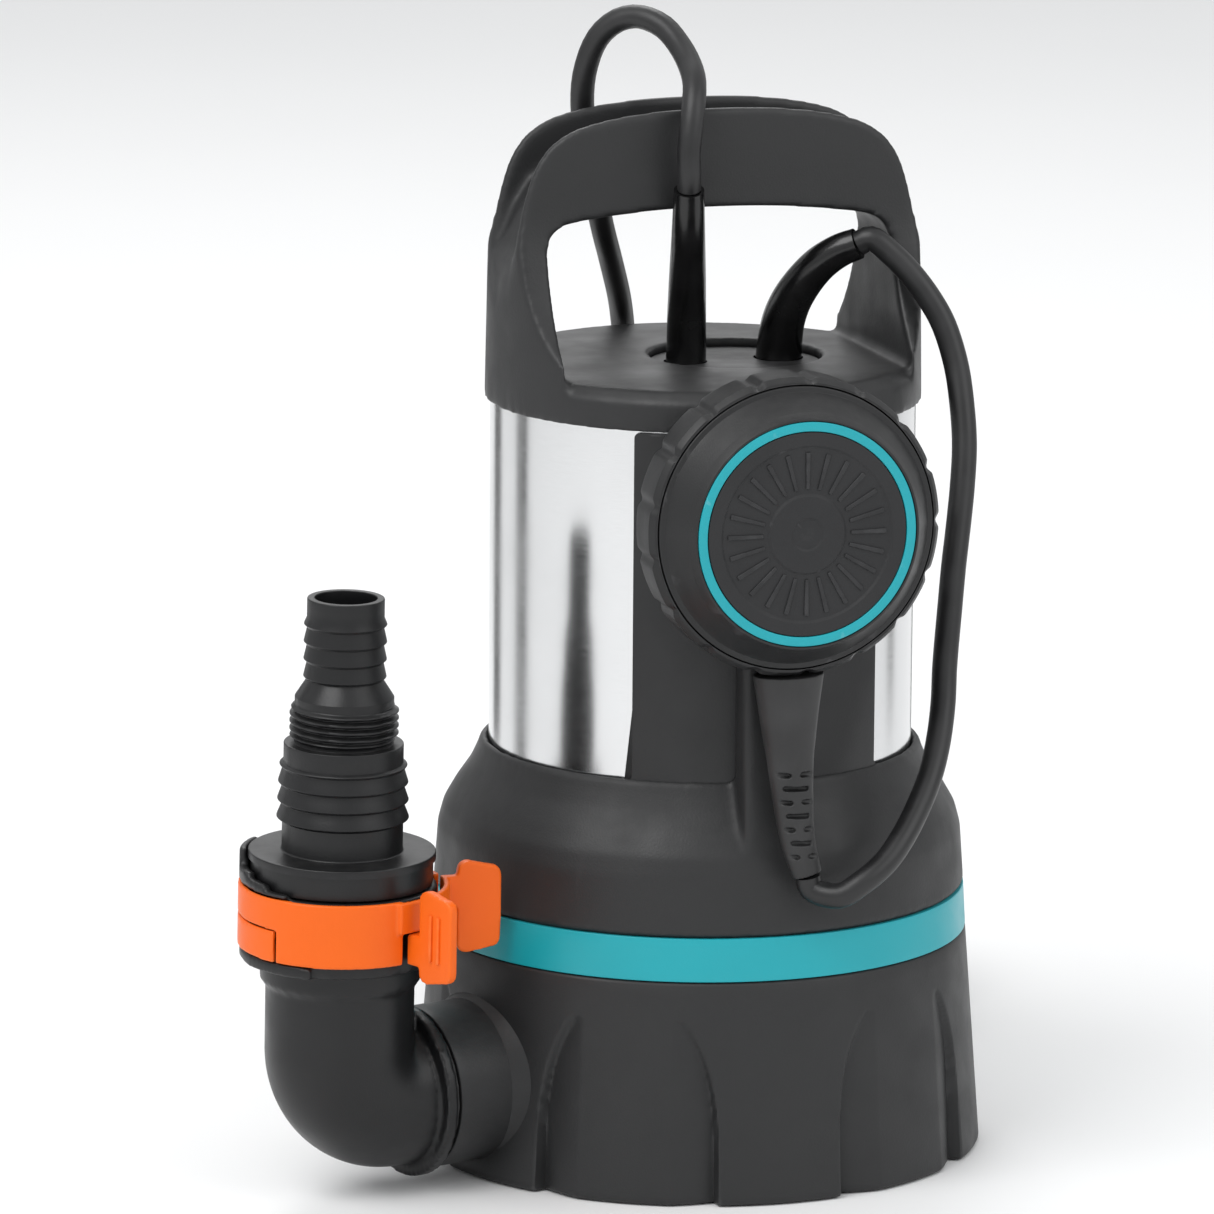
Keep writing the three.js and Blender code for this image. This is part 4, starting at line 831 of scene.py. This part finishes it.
def foot_radius(a, z):
    """Outer radius of the skirt: buttresses stand out, and between them the wall is set back."""
    full = FOOT_R[0] + (FOOT_R[1] - FOOT_R[0]) * z / FOOT_TOP
    if z >= RECESS_TOP:
        return full
    depth = RECESS_DEPTH * sqrt(1 - z / RECESS_TOP)
    edge = BUTTRESS_HALF + BUTTRESS_SPREAD * (z / RECESS_TOP) ** 4
    off = angle_from_nearest(a, BUTTRESSES)
    if off <= edge:
        return full
    if off < edge + BUTTRESS_EDGE:
        t = (off - edge) / BUTTRESS_EDGE
        return full - depth * t * t * (3 - 2 * t)
    if off < RECESS_SOFT:
        t = (off - edge - BUTTRESS_EDGE) / max(0.1, RECESS_SOFT - edge - BUTTRESS_EDGE)
        return full - depth * (1 - t) ** 1.15
    return full


def make_foot():
    """The skirt with its buttresses and hollows, the plate inside it, and the stub that the elbow sits in."""
    columns = 900
    toe = 0.9
    rim = FOOT_TOP - 1.0
    heights = [0.0, 0.25, toe]
    while heights[-1] < 55:
        heights.append(heights[-1] + 1.6)
    heights += [56.2, RECESS_TOP, 58, 60, 64, rim, 68.6, 68.9, FOOT_TOP]
    vertices = []
    for c in range(columns):
        a = 360 * c / columns
        direction = radians(a - 90)
        profile = []
        for z in heights:
            r = foot_radius(a, z)
            if z < toe:
                r -= (toe - z) ** 2 * 0.9
            if z > rim:
                r -= (z - rim) ** 2 * 0.8
            profile.append((r, z))
        inner_wall = [(81.3, FOOT_TOP), (81.2, 68.2), (81.5, 50.0), (82.2, 0.6), (82.6, 0.0)]
        profile += inner_wall
        vertices += [(r * cos(direction), r * sin(direction), z) for r, z in profile]
    faces = grid_faces(len(heights) + len(inner_wall), columns)
    skirt = make_object("foot_skirt", vertices, faces, smooth_below=35)
    plate = turned("foot_plate", [(57, 56.2, 0.3), (81.7, 56.2), (81.7, 59.4), (57, 59.4, 0.3)])
    spout = turned("outlet_stub", [(22, 79), (25.2, 79), (25.2, 106, 0.6), (22, 106, 0.4)], 128)
    collar = turned("stub_collar", [(24.6, 80.5), (29.2, 80.5), (27.0, 84.6, 2.0), (25.2, 87.5, 1.5),
                                    (24.6, 87.5)], 128, steps=6)
    along = OUTLET @ Matrix.Rotation(radians(90), 4, "Y")
    for obj in (spout, collar):
        place(obj, along)
    return join("base_foot_moulding", [skirt, plate, spout, collar])


def make_lower_housing():
    """The lower sleeve and shoulder, the front panel over the steel, and the rail that the float hangs in."""
    body = turned("housing_body", [
        (80.65, 60, 0.4), (80.65, 83.0), (83.4, 83.0, 0.5), (82.75, 92, 2), (82.1, 101, 4),
        (80.4, 107.2, 3.5), (76.8, 113.4, 3), (72.3, 119.8, 3), (69.6, 125.6, 2), (68.9, LIP_TOP, 0.7),
        (66.55, LIP_TOP, 0.3),
        (66.55, 118), (77.5, 102), (77.5, 60),
    ], segments=240)
    top, corner = PANEL_TOP, PANEL_CORNER

    def span(z):
        extra = 2.6 * max(0.0, 1 - (z - 126) / 3.4) ** 2 if z < 129.4 else 0.0
        shorter = corner - sqrt(max(0.0, corner ** 2 - max(0.0, z - top + corner) ** 2))
        half = PANEL_HALF + extra - shorter
        return -90 - half, -90 + half
    heights = [118, 126, 127, 128, 129, 130, 150, 180, 210, 230]
    heights += [top - corner, top - 0.8, top - 0.35, top - 0.1, top]
    panel = wrapped("front_panel", span, heights, STEEL_R + 0.3, 67.9, columns=90)
    side = [(-66.9, 99.8), (-80.2, 101), (-78.6, 122), (-76.6, 170), (-76.0, 186), (-76.0, RIB_TOP),
            (-66.9, RIB_TOP)]
    rib = slab("rail", side, -10, 10, along="X")
    round_edges(rib, 2.2, 5, 50)
    slot = slab("slot", rectangle(-3, 3, 195.6, RIB_TOP + 2), -80, -70)
    cavity = slab("cavity", rectangle(-7.4, 7.4, 192, RIB_TOP + 2), -73.4, -68.9)
    combine(rib, [slot, cavity], "DIFFERENCE")
    round_edges(panel, 0.3, 2, 50)
    body = relax(remesh(combine(body, [rib], "UNION"), 1.2), 3)
    return join("lower_housing_moulding", [body, panel])


finish_piece(make_foot(), "pump", CHARCOAL, "dark_plastic", "base_foot")
finish_piece(make_lower_housing(), "pump", CHARCOAL, "dark_plastic", "lower_housing")
finish_piece(turned("turquoise_band", [
    (BAND_INNER_R, BAND[0]), (84.2, BAND[0], 0.35), (83.4, BAND[1], 0.35), (BAND_INNER_R, BAND[1])], 256),
    "pump", TURQUOISE, "turquoise_plastic", "colour_band")
finish_piece(turned("steel_sleeve", [
    (STEEL_INNER_R, STEEL_Z[0]), (STEEL_R, STEEL_Z[0]), (STEEL_R, STEEL_Z[1], 0.3),
    (STEEL_INNER_R, STEEL_Z[1])], 256),
    "pump", STEEL, "steel", "steel_shell")
finish_piece(from_frame("cap_and_handle", "handle_cap", 1.1, 7, fit=round_off), "pump", COVER_GREY,
             "dark_plastic", "handle_cap")

# ---------------------------------------------------------------- cord exits
finish_piece(sweep(
    "mains_relief", smooth_curve(MAINS_RELIEF, 1.2), lambda t: 6.3 - 1.6 * t ** 1.4, sides=40),
    "pump", RELIEF_RUBBER, "cord_rubber", "mains_strain_relief")
finish_piece(sweep(
    "float_relief", smooth_curve(FLOAT_RELIEF, 1.2), lambda t: 7.3 - 2.4 * t ** 1.2, sides=40),
    "pump", RELIEF_RUBBER, "cord_rubber", "float_strain_relief")

# ---------------------------------------------------------------- outlet elbow, clamp and adapter
finish_piece(from_frame("elbow_moulding", "outlet_elbow", 0.75, 6, fit=round_pipe), "elbow", BLACK,
             "black_plastic", "outlet_elbow")
finish_piece(from_frame("clamp_arm_front", "clamp_front_arm", 0.5, 4), "clamp_front", ORANGE,
             "orange_plastic", "clamp_front_arm")


def make_rear_arm():
    """The rear arm, with two grip ribs on its wing."""
    arm = from_frame("clamp_arm_rear_body", "clamp_rear_arm", 0.5, 4)
    on_wing = LEG_FRAME @ Matrix.Rotation(radians(WING_ANGLE), 4, "Z")
    ribs = []
    half = 0.6
    low, high = WING_RIB_Z
    for x in WING_RIBS:
        rib = slab("wing_rib", rectangle(x - half, x + half, low, high), -2.4, -1.3)
        ribs.append(place(round_edges(rib, 0.35, 3), on_wing))
    return join("clamp_arm_rear", [arm, *ribs])


finish_piece(make_rear_arm(), "clamp_rear", ORANGE, "orange_plastic", "clamp_rear_arm")


def make_adapter():
    """Push-in plug, four large barbs, a G1 thread and four small barbs."""
    outline = [(15, 84.0), (25, 84.0, 0.4), (25, 99.8), (27.9, 99.8, 0.3), (27.9, 106.9), (28.7, 107.1),
               (28.7, 109.5, 0.5), (18.5, 109.5, 0.6)]
    for i in range(4):
        outline += [(18.5, 118.8 + 5.5 * i, 0.2), (20.3 - 0.2 * i, 119.8 + 5.5 * i, 0.35)]
    outline += [(18.3, 137), (18.3, 143, 0.4), (THREAD_ROOT_R, 143.0, 0.2)]
    low, high = THREAD_Z
    count = 60
    outline += [(THREAD_ROOT_R, low + (high - low) * i / count) for i in range(count + 1)]
    outline += [(THREAD_ROOT_R, 157.35, 0.3)]
    for i in range(4):
        outline += [(11.7, 162.7 + 5.4 * i, 0.2), (12.7, 163.7 + 5.4 * i, 0.3)]
    outline += [(11.8, 182.0), (11.8, 188.0, 0.5), (9.5, 188.0, 0.4), (9.5, high), (15, 109.5)]

    def thread(r, z, a):
        if low <= z <= high and abs(r - THREAD_ROOT_R) < 0.05:
            turn = ((z - low) / THREAD_PITCH + a / (2 * pi)) % 1.0
            crest = 1 - abs(2 * turn - 1)
            fade = min(1.0, (z - low) / 1.6, (high - z) / 1.6)
            r += THREAD_DEPTH * max(0.0, min(1.0, 1.5 * crest - 0.2)) * fade
        return r, z
    obj = turned("adapter_moulding", outline, segments=144, warp=thread)
    return place(obj, LEG_FRAME)


finish_piece(make_adapter(), "adapter", BLACK, "black_plastic", "hose_adapter")


# ---------------------------------------------------------------- float switch
def make_float_shell():
    """The back of the float, with grip notches round it and the lug that slides in the rail."""
    wall = FLOAT_R - 2

    def grip(r, z, a):
        share = (a * GRIP_NOTCHES / (2 * pi)) % 1.0
        near = min(share, 1 - share) * 2 * pi / GRIP_NOTCHES * r
        if r > wall and near < NOTCH_HALF:
            t = 1 - near / NOTCH_HALF
            r -= NOTCH_DEPTH * t * t * (3 - 2 * t) * min(1.0, (r - wall) / 0.8)
        return r, z
    shell = turned("float_shell", [
        (0.02, -9), (43, -9, 1.5), (FLOAT_R, -6, 2.2), (FLOAT_R, 7, 0.6), (44.5, 9, 0.5), (43.75, 9),
        (43.75, -6.7), (0.02, -6.7)], segments=24 * GRIP_NOTCHES, steps=5, warp=grip)
    lug = []
    for half, low, high in ((2.5, -14.7, -8.0), (5.6, -16.5, -14.0)):
        lug.append(slab("lug", rectangle(-half, half, -16.5, -8.5), low, high, along="Z"))
    for obj in lug:
        round_edges(obj, 0.4)
    return place(join("float_shell_moulding", [shell, *lug]), FLOAT_FRAME)


def make_float_cap():
    """The raised front of the float, with a seat for the turquoise ring and the face."""
    cap_ring = turned("float_cap", [
        (0.02, 17.7), (32, 16.3), (38.4, 8), (38.4, 4), (43.3, 4), (43.3, 9.4, 0.5), (41.6, 9.6, 0.3),
        (36.8, 17.2, 2.0), (35.2, 20.1, 0.8), (34.55, 20.1, 0.2), (34.55, 18.7), (0.02, 18.7)], segments=200)
    return place(cap_ring, FLOAT_FRAME)


def make_face():
    """The face plate, with a ring of straight vanes pressed into it."""
    disc = turned("float_face", [
        (0.02, 19.0), (31.15, 19.0), (31.15, 20.05, 0.3), (27.2, 20.05, 0.5), (26.4, 19.45, 0.3),
        (12.4, 19.45, 0.3), (11.6, 20.05, 0.5), (5.2, 20.05, 0.5), (4.6, 19.7, 0.3), (0.02, 19.7)])
    vane = slab("face_vane", [(-5.6, -0.55), (5.6, -0.75), (5.6, 0.75), (-5.6, 0.55)], -0.2, 0.5, along="Z")
    round_edges(vane, 0.28, 3, 40)
    repeat_round(vane, 24, 19.4, 19.5, 0, FACE_GREY)
    return place(join("float_face_relief", [disc, vane]), FLOAT_FRAME)


finish_piece(make_float_shell(), "float", FLOAT_BLACK, "black_plastic", "float_rear_shell")
finish_piece(make_float_cap(), "float", FLOAT_BLACK, "dark_plastic", "float_front_cap")
finish_piece(place(turned("float_ring_inlay", [
    (31.4, 19.0), (34.3, 19.0), (34.3, 20.15, 0.4), (31.4, 20.15, 0.4)], 200), FLOAT_FRAME),
    "float", TURQUOISE, "turquoise_plastic", "float_accent_ring")
finish_piece(make_face(), "float", FACE_GREY, "dark_plastic", "float_face_plate")


def make_boot():
    """The strain relief under the float. Its lower half is slotted so that it bends."""
    line = smooth_curve(BOOT_LINE, 0.8)
    total = sum((b - a).length for a, b in zip(line, line[1:]))
    stations = [(0, 11.1), (10, 9.6), (22, 8.0), (26, 7.4), (36, 6.6), (50, 5.6), (total, 4.7)]

    def radius(t):
        d = t * total
        for (d0, r0), (d1, r1) in zip(stations, stations[1:]):
            if d <= d1:
                return r0 + (r1 - r0) * (d - d0) / (d1 - d0)
        return stations[-1][1]
    body = sweep("boot_moulding", line, radius, sides=56, flat=0.76, across=(0, 1, 0))
    slots = []
    top, bottom = BOOT_LINE[0][2], BOOT_LINE[-1][2]
    for row in range(BOOT_SLOT_ROWS):
        z = BOOT_SLOT_TOP - BOOT_SLOT_STEP * row
        middle = min(line, key=lambda p: abs(p.z - z))
        wide = radius((top - z) / (top - bottom))
        spans = [(-wide * 0.62, wide * 0.62)] if row % 2 else [(-wide * 1.1, -1.3), (1.3, wide * 1.1)]
        for side in (-1, 1):
            for x0, x1 in spans:
                near, far = sorted((middle.y + side * 12, middle.y + side * wide * 0.42))
                slots.append(slab("slot", [(middle.x + x0, z - 0.75), (middle.x + x1, z - 0.95),
                                           (middle.x + x1, z + 0.55), (middle.x + x0, z + 0.75)], near, far))
    combine(body, slots, "DIFFERENCE")
    return relax(remesh(body, 0.42), 2)


finish_piece(make_boot(), "float", BOOT_RUBBER, "cord_rubber", "float_boot")

# ---------------------------------------------------------------- leads, coil, tie and plug
plug = finish_piece(from_frame("plug_moulding", "mains_plug", 0.8, 6), "pump", RELIEF_RUBBER, "cord_rubber",
                    "mains_plug")
tie = finish_piece(from_frame("coil_strap", "coil_tie", 0.6, 3), "pump", BLACK, "black_plastic", "coil_tie")
finish_piece(mains_lead, "pump", CORD_RUBBER, "cord_rubber", "mains_cord", "mains_coil")
mains_metres = [p * MM for p in mains_points]
mains_length = sum((b - a).length for a, b in zip(mains_metres, mains_metres[1:]))
tuple(mains_metres[0])
[tuple(p) for p in mains_metres]
print("mains lead, metres:", round(mains_length, 3))

float_lead.data.materials.clear()
float_lead.data.materials.append(CORD_RUBBER)
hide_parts("float_cord")
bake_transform(float_lead)
float_metres = [p * MM for p in float_points]
float_length = sum((b - a).length for a, b in zip(float_metres, float_metres[1:]))
tuple(float_metres[0])
[tuple(p) for p in float_metres]
print("float lead, metres:", round(float_length, 3))

# ---------------------------------------------------------------- materials of the remaining solids
NODE_SLOTS = {part["node"]: part["material_slot"] for part in frame["record"]["subparts"]
              if "material_slot" in part}
for name, obj in frame["nodes"].items():
    material = SLOT_MATERIALS.get(NODE_SLOTS.get(name), CHARCOAL)
    obj.data.materials.clear()
    obj.data.materials.append(material)


# ---------------------------------------------------------------- stage and light
def plane(name, size_x, size_y, matrix):
    mesh = bpy.data.meshes.new(name)
    x, y = size_x / 2, size_y / 2
    mesh.from_pydata([(-x, -y, 0), (x, -y, 0), (x, y, 0), (-x, y, 0)], [], [(0, 1, 2, 3)])
    mesh.transform(matrix)
    obj = bpy.data.objects.new(name, mesh)
    bpy.context.scene.collection.objects.link(obj)
    return obj


def standing(azimuth, distance, height):
    """A frame at an azimuth from the pump, facing it."""
    a = radians(azimuth)
    at = Vector((sin(a) * distance, -cos(a) * distance, height))
    return Matrix.Translation(at) @ Vector((-sin(a), cos(a), 0)).to_track_quat("Z", "Y").to_matrix().to_4x4()


def add_stage():
    floor = plane("floor", 12, 12, Matrix.Translation((0, 2.5, -0.0006)))
    pale, tree, shader = start_material("studio_floor", (0.86, 0.86, 0.86), roughness=0.6)
    at = node(tree, "ShaderNodeTexCoord").outputs["Object"]
    cloud = node(tree, "ShaderNodeTexNoise", {"Vector": at, "Scale": 3.0}).outputs["Fac"]
    base = mix_colour(tree, cloud, (0.85, 0.85, 0.85), (0.87, 0.87, 0.87))
    tree.links.new(base, shader.inputs["Base Color"])
    floor.data.materials.append(pale)
    for name, azimuth, distance, width, shade in (
            ("flag_left", -125, 0.45, 0.085, 0.30), ("flag_left_core", -122, 0.43, 0.022, 0.03),
            ("flag_left_edge", -158, 0.6, 0.13, 0.12), ("flag_right_edge", 150, 0.6, 0.14, 0.12),
            ("flag_right", 104, 0.7, 0.09, 0.25)):
        flag = plane(name, width, 0.5, standing(azimuth, distance, 0.25))
        cloth, _, shader = start_material(name + "_cloth", (shade, shade, shade), roughness=1.0)
        shader.inputs["Base Color"].default_value = (shade, shade, shade, 1.0)
        shader.inputs["Specular IOR Level"].default_value = 0.0
        flag.data.materials.append(cloth)
        flag.visible_camera = flag.visible_diffuse = flag.visible_shadow = False


def add_light(name, azimuth, elevation, distance, size, power):
    """A square lamp that faces the pump."""
    data = bpy.data.lights.new(name, "AREA")
    data.shape = "RECTANGLE"
    data.size = data.size_y = size
    data.energy = power
    a, e = radians(azimuth), radians(elevation)
    way = Vector((sin(a) * cos(e), -cos(a) * cos(e), sin(e)))
    lamp = bpy.data.objects.new(name, data)
    lamp.matrix_world = (Matrix.Translation(way * distance + Vector((0, 0, 0.15)))
                         @ way.to_track_quat("Z", "Y").to_matrix().to_4x4())
    bpy.context.scene.collection.objects.link(lamp)
    return lamp


def add_lights():
    world = bpy.data.worlds.new("studio")
    world.use_nodes = True
    background = world.node_tree.nodes["Background"]
    background.inputs["Color"].default_value = (0.93, 0.94, 0.95, 1)
    background.inputs["Strength"].default_value = 0.82
    bpy.context.scene.world = world
    add_light("key", -60, 50, 2.2, 1.4, 26)
    add_light("fill", 40, 35, 2.4, 1.6, 12)
    add_light("back", 170, 45, 2.4, 1.2, 14)


add_stage()
add_lights()
bpy.context.scene.view_settings.view_transform = "Standard"
